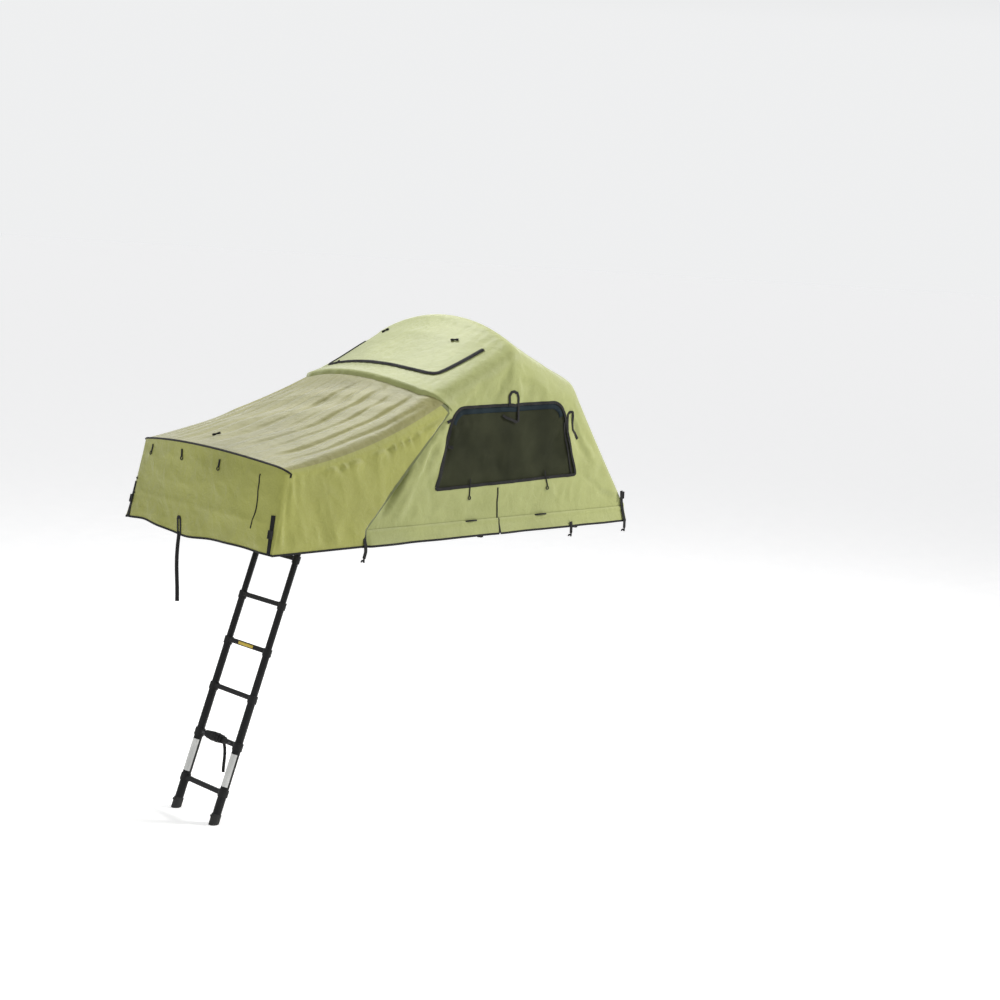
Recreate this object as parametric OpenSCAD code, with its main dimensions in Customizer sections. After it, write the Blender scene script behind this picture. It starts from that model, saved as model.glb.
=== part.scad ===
// Fold-out roof top tent on a two-part base, with a telescopic ladder.
// The frame's origin is midway between the four bar clamps, on the axes of the roof bars.
// +X points to the closed end, -X to the ladder, the window side is at -Y, and +Z is up.

/* [Base] */
// Length of each half of the base
half_length = 1220; // [1180:10:1260]
// Width of the base frame
base_width = 1420; // [1380:10:1460]
// Height of the frame extrusion
frame_height = 45; // [40:1:55]
// Wall of the frame extrusion
frame_wall = 4; // [3:0.5:6]
// Width of the flange that carries the floor panel
frame_flange = 30; // [24:1:45]
// Radius of the frame's outer corners
frame_corner = 30; // [20:1:45]
// Width of each cross bar under the floor panel
cross_bar = 40; // [25:1:60]
// Gap between the two halves at the hinge
seam_gap = 2; // [1:0.5:6]

/* [Roof mount] */
// Radius of the round roof bars that the clamps hold
bar_radius = 14.3; // [12:0.1:16]
// Distance between the two roof bars
bar_spread = 900; // [700:10:1000]
// Distance from the hinge to the first mounting rail
rail_from_hinge = 90; // [70:5:140]
// Distance from the closed end to the second mounting rail
rail_from_end = 220; // [150:10:300]
// Height of the bar axes below the rails
saddle_height = 46; // [44:1:54]
// Height of a mounting rail
rail_height = 32; // [26:1:40]
// Width of a mounting rail
rail_width = 42; // [36:1:50]
// Wall of a mounting rail
rail_wall = 3; // [2:0.5:4]
// Slot along the underside of a mounting rail
rail_slot = 11; // [9.5:0.5:14]
// How far each rail end stops short of the frame's side
rail_setback = 18; // [12:1:20]
// Depth of a clamp jaw below the bar axis
jaw_depth = 26; // [22:1:36]
// Radius of the clamp bolts
bolt_r = 4; // [3:0.5:4.5]
// Radius of a clamp knob
knob_r = 21; // [16:1:24]
// Height of a clamp knob
knob_height = 28; // [22:1:36]

/* [Hinge and hoops] */
// Height of the hinge axis above the floor
hinge_height = 120; // [119:0.5:122]
// Thickness of each hinge plate
plate_t = 5.5; // [4:0.5:6]
// Radius of the hinge pins
hinge_pin_r = 6; // [5:0.5:8]
// Radius of the hoop pivot studs
stud_r = 5; // [4:0.5:6]
// Diameter of the hoop tubes
hoop_d = 22; // [20:0.5:23]
// Wall of the hoop tubes
hoop_wall = 2; // [1:0.25:3]
// How far the hoop legs stand inside the frame's side
hoop_inset = 38; // [36:1:44]
// Corner radius of the canopy over a hoop
hoop_corner = 150; // [110:5:180]
// Leg of the front hoop, from its pivot to the canopy's corner
front_leg = 818; // [780:1:840]
// Open angle of the front hoop
front_angle = 131.3; // [128:0.1:134]
// Rise of the front hoop's crown
front_crown = 135; // [110:5:160]
// Leg of the ridge hoop
ridge_leg = 967; // [930:1:990]
// Open angle of the ridge hoop
ridge_angle = 87.5; // [84:0.1:92]
// Rise of the ridge hoop's crown
ridge_crown = 190; // [150:5:200]
// Leg of the rear hoop
rear_leg = 944; // [900:1:960]
// Open angle of the rear hoop
rear_angle = 52.1; // [49:0.1:55]
// Rise of the rear hoop's crown
rear_crown = 150; // [120:5:170]

/* [Vestibule] */
// Diameter of the vestibule hoop's tube
porch_d = 19; // [16:0.5:20]
// How far the vestibule hoop's legs stand inside the frame's side
porch_inset = 14; // [12:1:16]
// How far the vestibule hoop's pivots stand out from the end of the base
porch_out = 42; // [36:1:48]
// Leg of the vestibule hoop
porch_leg = 570; // [545:1:580]
// Open angle of the vestibule hoop
porch_angle = 148.5; // [146:0.1:151]
// Rise of the vestibule hoop's crown
porch_crown = 100; // [80:5:120]
// Corner radius of the canopy over the vestibule hoop
porch_corner = 80; // [60:5:110]
// How far the vestibule's hem stands out from the end of the base
porch_reach = 620; // [580:10:660]

/* [Canopy] */
// Thickness of the fabric
fabric_t = 3; // [2:0.25:4]
// Gap between the hoop tubes and the fabric
fabric_gap = 4; // [3.5:0.25:6]
// Gap between the vestibule hoop's tube and its steep fabric
porch_gap = 10; // [9:0.5:12]
// Gap between the vestibule's edge and the canopy under it
seam_lap = 1.2; // [1:0.1:2]
// Width of the fabric rails along the frame
fabric_rail_w = 9; // [6:0.5:14]
// Depth of the skirt below the floor
skirt_drop = 100; // [85:5:105]
// How far the skirt's hem stands out from its top
skirt_flare = 26; // [15:1:40]
// How far the inner end wall stands in from the ladder end of the base
door_setback = 110; // [95:5:140]
// Thickness of a mattress half
mattress_t = 55; // [45:1:58]

/* [Ladder] */
// Height of the floor above the ground
floor_height = 1862; // [1830:1:1900]
// How far the ladder's pivots stand in from the end of the base
ladder_inset = 68; // [60:1:90]
// How far the ladder's pivots hang below the frame
ladder_hang = 30; // [27:1:34]
// Lean of the ladder from the vertical
ladder_lean = 19; // [15:0.1:23]
// Distance between the axes of the stiles
stile_spread = 400; // [380:5:440]
// Distance from the ladder's pivots down to its first section's rung
head_reach = 196; // [185:1:210]
// Height of the lowest rung above the foot
first_rung = 194; // [185:1:220]
// Outer diameter of the thinnest stile tube
stile_d = 36; // [34:0.5:38]
// Wall of the stile tubes
stile_wall = 1.5; // [1.2:0.1:1.8]
// Running gap between one stile tube and the next
stile_gap = 0.3; // [0.3:0.05:0.5]
// How far each stile tube reaches into the next one
stile_overlap = 80; // [60:5:100]
// Height of a rung's face
rung_height = 30; // [24:1:36]
// Depth of a rung, from front to back
rung_depth = 38; // [30:1:44]
// Wall of a rung's collar round its tube
collar_wall = 5; // [4:0.5:7]

/* [Hidden] */
$fn = 64;
fit = 0.4;
rail_fit = 0.8;
skirt_fit = 1;
skirt_bend = 40;
running = 0.06;
hinge_x = -(rail_from_hinge + half_length - rail_from_end) / 2;
rail_x = half_length + hinge_x - rail_from_end;
deck_z = saddle_height + rail_height + frame_height;
half_w = base_width / 2;

// Pieces beside the hinge, from the frame's side inwards
leaf_outer_y = half_w - 1;
leaf_inner_y = leaf_outer_y - plate_t;
plate_outer_y = leaf_inner_y - fit;
plate_inner_y = plate_outer_y - plate_t;
hoop_r = hoop_d / 2;
hoop_y = half_w - hoop_inset;
porch_r = porch_d / 2;
porch_y = half_w - porch_inset;
eye_t = 10;
eye_r = 14;
eye_reach = 36;
plug_depth = 40;
stud_cap = 6;
plate_foot = 5;
foot_width = 24;
foot_span = [14, 172];

// Each hoop is [pivot x, pivot z, leg, open angle, crown], from the hinge line at floor height
rear_hoop_at = [120, 70, rear_leg, rear_angle, rear_crown];
ridge_hoop_at = [80, 98, ridge_leg, ridge_angle, ridge_crown];
front_hoop_at = [40, 166, front_leg, front_angle, front_crown];
porch_at = [-porch_out - half_length, 100, porch_leg, porch_angle, porch_crown];
hoops = [rear_hoop_at, ridge_hoop_at, front_hoop_at];

// Outlines that the canopy follows
canopy_y = hoop_y + hoop_r + fabric_gap + fabric_t;
porch_canopy_y = porch_y + porch_r + porch_gap + fabric_t;
wall_y = half_w + fabric_rail_w + rail_fit + fabric_t;
end_x = half_length + fabric_rail_w + rail_fit + fabric_t;
front_x = door_setback - half_length;
hem_x = -half_length - porch_reach;
hem_y = wall_y + skirt_fit + fabric_t + skirt_flare;
wall_drop = 14;
end_lip = 10;
corner_steps = 4;
crown_steps = 12;
wall_steps = 3;
roof_count = 2 * corner_steps + crown_steps + 1;
roof_sag = [4, 14, 12, 0];

// Rows of the canopy, from 0 at the closed end to 4 at the inner end wall, one list for each span
span_rows = [[0, 0.2, 0.4, 0.6, 0.8], [1, 1.2, 1.4, 1.6, 1.8],
             [2, 2.1, 2.3, 2.5, 2.7, 2.95], [3, 3.12, 3.33, 3.54, 3.75, 3.96, 4]];
canopy_rows = [for (span = span_rows) each span];
function rows_from(first, last) = [for (u = canopy_rows) if (u >= first && u <= last) u];

// Ladder, with distances measured down the stiles from the pivot
ladder_pivot = [ladder_inset - half_length, -frame_height - ladder_hang];
ladder_length = (floor_height + ladder_pivot[1]) / cos(ladder_lean);
section_count = 5;
rung_pitch = (ladder_length - first_rung - head_reach) / section_count;
collar_up = 18;
collar_down = 30;
clevis_gap = 0.5;
tongue_t = 12;
ear_t = 5;
sole_t = 14;
boot_height = 62;

function lerp(a, b, t) = a + (b - a) * t;
function unit(v) = v / norm(v);
function flip_y(p) = [p[0], -p[1], p[2]];
function flat(rows) = [for (row = rows) each row];

// Points along an arc
function arc(c, r, a0, a1, n) =
    [for (i = [0:n]) let (a = lerp(a0, a1, i / n)) [c[0] + r * cos(a), c[1] + r * sin(a)]];

// A polygon with each corner rounded by its own radius, for corners listed counter-clockwise
function rounded(corners, radii, n = 6) =
    let (count = len(corners))
    [for (i = [0:count - 1])
        let (p = corners[i],
             u = unit(corners[(i + count - 1) % count] - p),
             v = unit(corners[(i + 1) % count] - p),
             half = acos(u * v) / 2,
             c = p + unit(u + v) * radii[i] / sin(half),
             sweep = 180 - 2 * half,
             a = atan2(-v[0], v[1]) - sweep)
        each arc(c, radii[i], a, a + sweep, n)];

module on_deck() translate([hinge_x, 0, deck_z]) children();
module both_sides() { children(); mirror([0, 1, 0]) children(); }
module along_y(y0, y1) translate([0, y1, 0]) rotate([90, 0, 0]) linear_extrude(y1 - y0) children();
module pin_y(r, y0, y1) translate([0, y0, 0]) rotate([-90, 0, 0]) cylinder(r = r, h = y1 - y0);

// One half of the base

function half_outline(inset) =
    let (x0 = seam_gap / 2 + inset, x1 = half_length - inset, y = half_w - inset,
         r = max(frame_corner - inset, 2))
    concat([[x0, -y]], arc([x1 - r, r - y], r, -90, 0, 6), arc([x1 - r, y - r], r, 0, 90, 6), [[x0, y]]);

module base_frame() {
    color([0.62, 0.63, 0.64]) on_deck() translate([0, 0, -frame_height]) union() {
        difference() {
            linear_extrude(frame_height) polygon(half_outline(0));
            translate([0, 0, frame_wall]) linear_extrude(frame_height) polygon(half_outline(frame_wall));
            translate([0, 0, -1]) linear_extrude(frame_wall + 2) polygon(half_outline(frame_flange));
        }
        for (share = [1 / 3, 2 / 3])
            translate([half_length * share - cross_bar / 2, frame_flange - half_w - 1, 0])
                cube([cross_bar, base_width - 2 * frame_flange + 2, frame_wall]);
    }
}

module base_panel() {
    color([0.80, 0.80, 0.78]) on_deck() translate([0, 0, frame_wall - frame_height])
        linear_extrude(frame_height - frame_wall) polygon(half_outline(frame_wall + fit));
}

module to_foldout() translate([2 * hinge_x, 0, 0]) mirror([1, 0, 0]) children();

module fixed_frame() base_frame();
module fixed_panel() base_panel();
module foldout_frame() to_foldout() base_frame();
module foldout_panel() to_foldout() base_panel();

// Mattress halves: crowned, with sides drawn in between the corners

mattress_start = 60;
mattress_end = door_setback + 80;
mattress_side = 60;
mattress_draw = 10;

mattress_band = 0.18;

function pad_point(u, v, top) =
    let (length = half_length - mattress_start - mattress_end,
         width = base_width - 2 * mattress_side,
         swell = pow((1 - pow(abs(u), 8)) * (1 - pow(abs(v), 8)), 0.35),
         crown = 0.88 + 0.12 * (1 - u * u) * (1 - v * v),
         mid = mattress_t / 2,
         band = mattress_t * mattress_band,
         z = top ? mid + band + (mid - band) * swell * crown : mid - band - (mid - band - fit) * swell)
    [mattress_start + length / 2 + u * (length / 2 - mattress_draw * (1 - v * v)),
     v * (width / 2 - mattress_draw * (1 - u * u)), z];

module mattress_half() {
    us = [for (i = [0:14]) sin(lerp(90, -90, i / 14))];
    vs = [for (j = [0:12]) sin(lerp(-90, 90, j / 12))];
    color([0.55, 0.56, 0.52]) on_deck()
        sheet([for (u = us) [for (v = vs) pad_point(u, v, true)]],
              [for (u = us) [for (v = vs) pad_point(u, v, false)]]);
}

module fixed_mattress() mattress_half();
module foldout_mattress() to_foldout() mattress_half();

// Hinge plates, pins and pivot studs

module plate_outline(points, r) {
    hull() {
        for (p = points)
            translate(p) circle(r = r, $fn = 32);
        translate([foot_span[0], 0]) square([foot_span[1] - foot_span[0], plate_foot]);
    }
}

hinge_point = [0, hinge_height];
hub_margin = 17;

module fixed_hinge_plates() {
    color([0.14, 0.14, 0.14]) on_deck() both_sides() difference() {
        union() {
            along_y(-plate_outer_y, -plate_inner_y)
                plate_outline([hinge_point, for (h = hoops) [h[0], h[1]]], hub_margin);
            translate([foot_span[0], -plate_outer_y, 0])
                cube([foot_span[1] - foot_span[0], foot_width, plate_foot]);
        }
        translate([0, 0, hinge_height]) pin_y(hinge_pin_r + running, -half_w, -plate_inner_y + 1);
        for (h = hoops)
            translate([h[0], 0, h[1]]) pin_y(stud_r + running, -half_w, -plate_inner_y + 1);
    }
}

module foldout_hinge_plates() {
    color([0.14, 0.14, 0.14]) on_deck() both_sides() difference() {
        mirror([1, 0, 0]) union() {
            along_y(-leaf_outer_y, -leaf_inner_y) plate_outline([hinge_point], hub_margin + 4);
            translate([foot_span[0], -leaf_outer_y, 0])
                cube([foot_span[1] - foot_span[0], foot_width, plate_foot]);
        }
        translate([0, 0, hinge_height]) pin_y(hinge_pin_r + running, -half_w, -leaf_inner_y + 1);
    }
}

pin_head_t = 3;

module hinge_pins() {
    color([0.7, 0.7, 0.72]) on_deck() both_sides() translate([0, 0, hinge_height]) union() {
        pin_y(hinge_pin_r, -leaf_outer_y - fit / 2, -plate_inner_y);
        pin_y(hinge_pin_r + 4, -leaf_outer_y - fit / 2 - pin_head_t, -leaf_outer_y - fit / 2);
        pin_y(hinge_pin_r + 3, -plate_inner_y, -plate_inner_y + pin_head_t + 1);
    }
}

// A stud from a plate's face at y0 to a cap past the hoop's eye, for an eye centred on eye_y
module pivot_stud(y0, eye_y, through) {
    side = sign(eye_y - y0);
    near_face = eye_y - side * (eye_t / 2 + fit);
    far_face = eye_y + side * (eye_t / 2 + fit);
    cap_end = far_face + side * stud_cap;
    union() {
        pin_y(stud_r, min(y0 - side * through, far_face), max(y0 - side * through, far_face));
        pin_y(stud_r + 3, min(y0, near_face), max(y0, near_face));
        pin_y(stud_r + 3.5, min(far_face, cap_end), max(far_face, cap_end));
    }
}

module hoop_pivot_studs() {
    color([0.7, 0.7, 0.72]) on_deck() both_sides() for (h = hoops)
        translate([h[0], 0, h[1]]) pivot_stud(-plate_inner_y, -hoop_y, plate_t);
}

// Strips along the frame that hold the fabric's edge

strip_height = wall_drop - 6;
strip_short = 34;

module side_strips() {
    both_sides() translate([strip_short, -half_w - fabric_rail_w, -wall_drop])
        cube([half_length - 2 * strip_short, fabric_rail_w, strip_height]);
}

module fixed_fabric_rails() {
    color([0.55, 0.55, 0.56]) on_deck() union() {
        side_strips();
        translate([half_length, strip_short + 10 - half_w, -wall_drop])
            cube([fabric_rail_w, base_width - 2 * strip_short - 20, strip_height]);
    }
}

module foldout_fabric_rails() {
    color([0.55, 0.55, 0.56]) on_deck() mirror([1, 0, 0]) both_sides()
        translate([strip_short, -half_w - fabric_rail_w, -wall_drop])
            cube([half_length - door_setback - strip_short, fabric_rail_w, strip_height]);
}

// Mounting rails and bar clamps

rail_half = half_w - rail_setback;

module rail_profile() {
    difference() {
        translate([-rail_width / 2, 0]) square([rail_width, rail_height]);
        translate([rail_wall - rail_width / 2, rail_wall])
            square([rail_width - 2 * rail_wall, rail_height - 2 * rail_wall]);
        translate([-rail_slot / 2, -1]) square([rail_slot, rail_wall + 2]);
    }
}

module mounting_rail(x) {
    color([0.20, 0.20, 0.21]) translate([x, 0, saddle_height])
        along_y(-rail_half, rail_half) rail_profile();
}

module hinge_rail() mounting_rail(-rail_x);
module end_rail() mounting_rail(rail_x);

cap_t = 4;

module rail_end_caps() {
    color([0.08, 0.08, 0.08]) both_sides() for (x = [-rail_x, rail_x])
        translate([x, 0, saddle_height]) union() {
            along_y(-rail_half - cap_t, -rail_half)
                polygon(rounded([[-rail_width / 2, 0], [rail_width / 2, 0],
                    [rail_width / 2, rail_height], [-rail_width / 2, rail_height]], [4, 4, 4, 4]));
            translate([rail_wall + fit - rail_width / 2, -rail_half, rail_wall + fit])
                cube([rail_width - 2 * rail_wall - 2 * fit, 12, rail_height - 2 * rail_wall - 2 * fit]);
        }
}

clamp_places = [[-rail_x, -1], [rail_x, -1], [-rail_x, 1], [rail_x, 1]];
clamp_length = 46;
clamp_half = bar_radius + 4 * bolt_r + 10;
bolt_at = bar_radius + 2 * bolt_r + 3;
split = 1;

module at_clamp(i) {
    p = clamp_places[i];
    translate([p[0], p[1] * bar_spread / 2, 0]) mirror([0, p[1] < 0 ? 0 : 1, 0]) children();
}

module along_x(l) rotate([90, 0, 90]) translate([0, 0, -l / 2]) linear_extrude(l) children();

module clamp_bores() {
    rotate([0, 90, 0]) cylinder(r = bar_radius, h = clamp_length + 2, center = true);
    for (side = [-1, 1])
        translate([0, side * bolt_at, -jaw_depth - 1])
            cylinder(r = bolt_r + fit / 2, h = jaw_depth + saddle_height + 2);
}

module clamp_saddles() {
    color([0.10, 0.10, 0.10]) for (i = [0:3]) at_clamp(i) difference() {
        along_x(clamp_length) polygon([[-clamp_half, split], [clamp_half, split],
            [clamp_half, saddle_height * 0.6], [clamp_half - 8, saddle_height],
            [8 - clamp_half, saddle_height], [-clamp_half, saddle_height * 0.6]]);
        clamp_bores();
    }
}

module clamp_jaws() {
    color([0.10, 0.10, 0.10]) for (i = [0:3]) at_clamp(i) difference() {
        along_x(clamp_length) polygon([[-clamp_half, -split], [-clamp_half, -jaw_depth * 0.5],
            [6 - clamp_half, -jaw_depth], [clamp_half - 6, -jaw_depth],
            [clamp_half, -jaw_depth * 0.5], [clamp_half, -split]]);
        clamp_bores();
    }
}

bolt_head = [rail_slot + 9, 2.4 * bolt_r + 6, 6];
nut_height = 2 * bolt_r;

module clamp_bolts() {
    color([0.65, 0.65, 0.67]) for (i = [0:3]) at_clamp(i) for (side = [-1, 1])
        translate([0, side * bolt_at, 0]) union() {
            translate([-bolt_head[0] / 2, -bolt_head[1] / 2, saddle_height + rail_wall]) cube(bolt_head);
            bolt_end = side < 0 ? jaw_depth + knob_height * 0.6 : jaw_depth + nut_height + 4;
            translate([0, 0, -bolt_end]) cylinder(r = bolt_r, h = bolt_end + saddle_height + rail_wall + 1);
        }
}

module clamp_nuts() {
    color([0.65, 0.65, 0.67]) for (i = [0:3]) at_clamp(i)
        translate([0, bolt_at, -jaw_depth - nut_height]) difference() {
            cylinder(r = 1.9 * bolt_r, h = nut_height, $fn = 6);
            translate([0, 0, -1]) cylinder(r = bolt_r + running, h = nut_height + 2);
        }
}

knob_lobes = 5;

module clamp_knob(i) {
    color([0.06, 0.06, 0.06]) at_clamp(i)
        translate([0, -bolt_at, -jaw_depth - fit - knob_height]) difference() {
            union() {
                cylinder(r = knob_r, h = knob_height * 0.62);
                cylinder(r = knob_r * 0.55, h = knob_height);
            }
            for (k = [0:knob_lobes - 1])
                rotate(360 * k / knob_lobes) translate([knob_r * 1.18, 0, -1])
                    cylinder(r = knob_r * 0.42, h = knob_height);
            translate([0, 0, knob_height * 0.35]) cylinder(r = bolt_r + running, h = knob_height);
        }
}

module clamp_knob_1() clamp_knob(0);
module clamp_knob_2() clamp_knob(1);
module clamp_knob_3() clamp_knob(2);
module clamp_knob_4() clamp_knob(3);

// Hoops: straight legs, round corners and a long crown arc, inside the canopy's outline

function arch_radius(y, crown) = (y * y + crown * crown) / (2 * crown);
function arch_spread(y, corner, crown) =
    asin((y - corner) / (arch_radius(y, crown) - corner));
function arch_shoulder(y, corner, crown) =
    let (r = arch_radius(y, crown))
    crown - r + sqrt(pow(r - corner, 2) - pow(y - corner, 2));

module rod_arc(r, a0, sweep, rod_r)
    rotate(a0) rotate_extrude(angle = sweep, $fn = 360) translate([r, 0]) circle(r = rod_r, $fn = 48);

module at_hoop(h) on_deck() translate([h[0], 0, h[1]]) rotate([0, -h[3], 0]) children();

elbow_wall = 1;
elbow_lap = 10;
bore_lap = 3;

// Legs and crown arc, grown or bored to rod_r, each run on by lap into the elbows
module hoop_rods(leg_x, leg_y, crown_x, crown_r, spread, rod_r, lap) {
    turn = lap / crown_r * 180 / PI;
    both_sides() translate([eye_reach, -leg_y, 0]) rotate([0, 90, 0])
        cylinder(r = rod_r, h = leg_x - eye_reach + lap);
    translate([crown_x, 0, 0]) rod_arc(crown_r, -spread - turn, 2 * (spread + turn), rod_r);
}

// h is the hoop, y the canopy's half width over it and inset the tube axis's distance inside that
module hoop_tube(h, y, corner, tube_r, inset) {
    leg = h[2];
    crown = h[4];
    big = arch_radius(y, crown);
    spread = arch_spread(y, corner, crown);
    shoulder = leg + arch_shoulder(y, corner, crown);
    bore_r = tube_r - hoop_wall;
    color([0.72, 0.73, 0.74]) at_hoop(h) difference() {
        union() {
            hoop_rods(shoulder, y - inset, leg + crown - big, big - inset, spread, tube_r, elbow_lap);
            both_sides() translate([shoulder, corner - y, 0])
                rod_arc(corner - inset, -90, 90 - spread, tube_r + elbow_wall);
        }
        hoop_rods(shoulder, y - inset, leg + crown - big, big - inset, spread, bore_r, bore_lap);
        both_sides() translate([shoulder, corner - y, 0])
            rod_arc(corner - inset, -90, 90 - spread, bore_r - elbow_wall);
    }
}

// The eye and plug in the end of each leg
module hoop_ends(h, leg_y, tube_r) {
    color([0.12, 0.12, 0.12]) at_hoop(h) both_sides() translate([0, -leg_y, 0]) difference() {
        union() {
            along_y(-eye_t / 2, eye_t / 2) union() {
                circle(r = eye_r);
                translate([0, -eye_r * 0.75]) square([eye_reach, eye_r * 1.5]);
            }
            translate([eye_reach - 8, 0, 0]) rotate([0, 90, 0])
                cylinder(r = tube_r - hoop_wall - running, h = plug_depth + 8);
        }
        pin_y(stud_r + running, -eye_t, eye_t);
    }
}

tube_inset = hoop_r + fabric_gap + fabric_t;
porch_tube_inset = porch_r + porch_gap + fabric_t;

module front_hoop() hoop_tube(front_hoop_at, canopy_y, hoop_corner, hoop_r, tube_inset);
module ridge_hoop() hoop_tube(ridge_hoop_at, canopy_y, hoop_corner, hoop_r, tube_inset);
module rear_hoop() hoop_tube(rear_hoop_at, canopy_y, hoop_corner, hoop_r, tube_inset);
module vestibule_hoop() hoop_tube(porch_at, porch_canopy_y, porch_corner, porch_r, porch_tube_inset);
module front_hoop_ends() hoop_ends(front_hoop_at, hoop_y, hoop_r);
module ridge_hoop_ends() hoop_ends(ridge_hoop_at, hoop_y, hoop_r);
module rear_hoop_ends() hoop_ends(rear_hoop_at, hoop_y, hoop_r);
module vestibule_hoop_ends() hoop_ends(porch_at, porch_y, porch_r);

bracket_outer_y = porch_y - eye_t / 2 - fit - 9;
bracket_foot = [porch_out + 5, porch_out + 75];

module vestibule_brackets() {
    color([0.14, 0.14, 0.14]) on_deck() both_sides() difference() {
        union() {
            translate([porch_at[0], 0, 0]) along_y(-bracket_outer_y, plate_t - bracket_outer_y) hull() {
                translate([0, porch_at[1]]) circle(r = hub_margin, $fn = 32);
                translate([bracket_foot[0], 0]) square([bracket_foot[1] - bracket_foot[0], plate_foot]);
            }
            translate([porch_at[0] + bracket_foot[0], -half_w + 2, 0])
                cube([bracket_foot[1] - bracket_foot[0], half_w - 2 - bracket_outer_y + plate_t, plate_foot]);
        }
        translate([porch_at[0], 0, porch_at[1]])
            pin_y(stud_r + running, -bracket_outer_y - 1, plate_t - bracket_outer_y + 1);
    }
}

module vestibule_pivot_studs() {
    color([0.7, 0.7, 0.72]) on_deck() both_sides() translate([porch_at[0], 0, porch_at[1]])
        pivot_stud(-bracket_outer_y, -porch_y, plate_t);
}

// Canopy: one sheet over the three hoops, from the closed end to the inner end wall

// Points [across, along the hoop's leg] over an arch, o inside the canopy's outer face
function arch(y, corner, crown, o) =
    let (r = arch_radius(y, crown), b = arch_spread(y, corner, crown), s = arch_shoulder(y, corner, crown))
    concat(
        [for (p = arc([0, 0], corner - o, 180, 90 + b, corner_steps)) [p[0] + corner - y, p[1] + s]],
        [for (i = [1:crown_steps - 1]) let (a = lerp(90 + b, 90 - b, i / crown_steps))
            [(r - o) * cos(a), crown - r + (r - o) * sin(a)]],
        [for (p = arc([0, 0], corner - o, 90 - b, 0, corner_steps)) [p[0] + y - corner, p[1] + s]]);

function corner_of(h) = [h[0] + h[2] * cos(h[3]), h[1] + h[2] * sin(h[3])];

function hoop_row(h, y, corner, o) =
    let (c = corner_of(h))
    [for (p = arch(y, corner, h[4], o)) [c[0] + p[1] * cos(h[3]), p[0], c[1] + p[1] * sin(h[3])]];

// A row with the side walls added, each from its foot up to the row's first point
function with_walls(row, feet) =
    let (n = len(feet), start = row[0], last = row[len(row) - 1])
    concat(
        [for (f = feet) lerp(f[0], start, f[1])],
        row,
        [for (i = [n - 1:-1:0]) lerp(flip_y(feet[i][0]), last, feet[i][1])]);

function wall_feet(foot) = [for (i = [0:wall_steps - 1]) [foot, i / wall_steps]];

// How far the row at an end is cut back beside its corner, d away from the side wall, for a bend of radius r
function corner_cut(d, r) = d < r ? r - sqrt(max(0, r * r - pow(r - d, 2))) : 0;

function end_row(x, r, o) =
    with_walls(
        [for (p = arch(canopy_y, hoop_corner, rear_crown, o))
            let (y = p[0] * (wall_y - o) / (canopy_y - o))
            [x - corner_cut(wall_y - o - abs(y), r), y, end_lip]],
        wall_feet([x - r, o - wall_y, -wall_drop]));

function main_row(k, o) =
    k == 0 ? end_row(end_x - o, skirt_bend - o, o)
    : k == 4 ? end_row(front_x + o, 0, o)
    : let (row = hoop_row(hoops[k - 1], canopy_y, hoop_corner, o))
        with_walls(row, wall_feet([row[0][0], o - wall_y, -wall_drop]));

function roof_weight(j) = sin(180 * max(0, min(1, (j - wall_steps) / (roof_count - 1))));

// The canopy's row at u, from 0 at the closed end over the hoops to 4 at the inner end wall
function canopy_row(u, o) =
    let (k = min(3, floor(u)), s = u - k, a = main_row(k, o), b = main_row(k + 1, o),
         sag = roof_sag[k] * 4 * s * (1 - s))
    [for (j = [0:len(a) - 1]) lerp(a[j], b[j], s) - [0, 0, sag * roof_weight(j)]];

// A closed sheet between an outer and an inner grid of points
module sheet(outer, inner) {
    n = len(outer);
    m = len(outer[0]);
    back = n * m;
    quads = concat(
        [for (i = [0:n - 2]) for (j = [0:m - 2]) let (a = i * m + j) [a, a + m, a + m + 1, a + 1]],
        [for (i = [0:n - 2]) for (j = [0:m - 2]) let (a = back + i * m + j) [a, a + 1, a + m + 1, a + m]],
        [for (i = [0:n - 2]) let (a = i * m, b = a + m) [a, back + a, back + b, b]],
        [for (i = [0:n - 2]) let (a = i * m + m - 1, b = a + m) [a, b, back + b, back + a]],
        [for (j = [0:m - 2]) [j, j + 1, back + j + 1, back + j]],
        [for (j = [0:m - 2]) let (a = (n - 1) * m + j) [a, back + a, back + a + 1, a + 1]]);
    faces = [for (q = quads) each [[q[0], q[1], q[2]], [q[0], q[2], q[3]]]];
    polyhedron(concat(flat(outer), flat(inner)), faces);
}

function part_of(row, first, last) = [for (j = [first:last]) row[j]];

// A patch of the canopy between two rows and two columns, o0 to o1 inside its outer face
module canopy_patch(us, first, last, o0, o1)
    sheet([for (u = us) part_of(canopy_row(u, o0), first, last)],
          [for (u = us) part_of(canopy_row(u, o1), first, last)]);

window_low = [[-556, 195], [715, 235]];
window_high = [[445, 730], [-360, 705]];
window_radii = [28, 28, 95, 95];
mesh_t = 1.5;
mesh_border = 18;

module window_outline(border) {
    grow = [[-border, -border], [border, -border], [border, border], [-border, border]];
    corners = concat(window_low, window_high);
    polygon(rounded([for (i = [0:3]) corners[i] + grow[i]], [for (r = window_radii) r + border]));
}

door_half = 420;
door_low = 70;
door_high = 560;
door_radius = 170;

module door_outline(border) {
    y = door_half + border;
    low = door_low - border;
    high = door_high + border;
    polygon(rounded([[-y, low], [y, low], [y, high], [-y, high]],
        [40, 40, door_radius + border, door_radius + border]));
}

module main_canopy() {
    rows = canopy_rows;
    color([0.68, 0.70, 0.44]) on_deck() difference() {
        sheet([for (u = rows) canopy_row(u, 0)], [for (u = rows) canopy_row(u, fabric_t)]);
        along_y(-wall_y - 50, wall_y + 50) window_outline(0);
        translate([(front_x + front_hoop_at[0]) / 2, 0, 0])
            along_x(front_hoop_at[0] - front_x) door_outline(0);
    }
}

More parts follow.
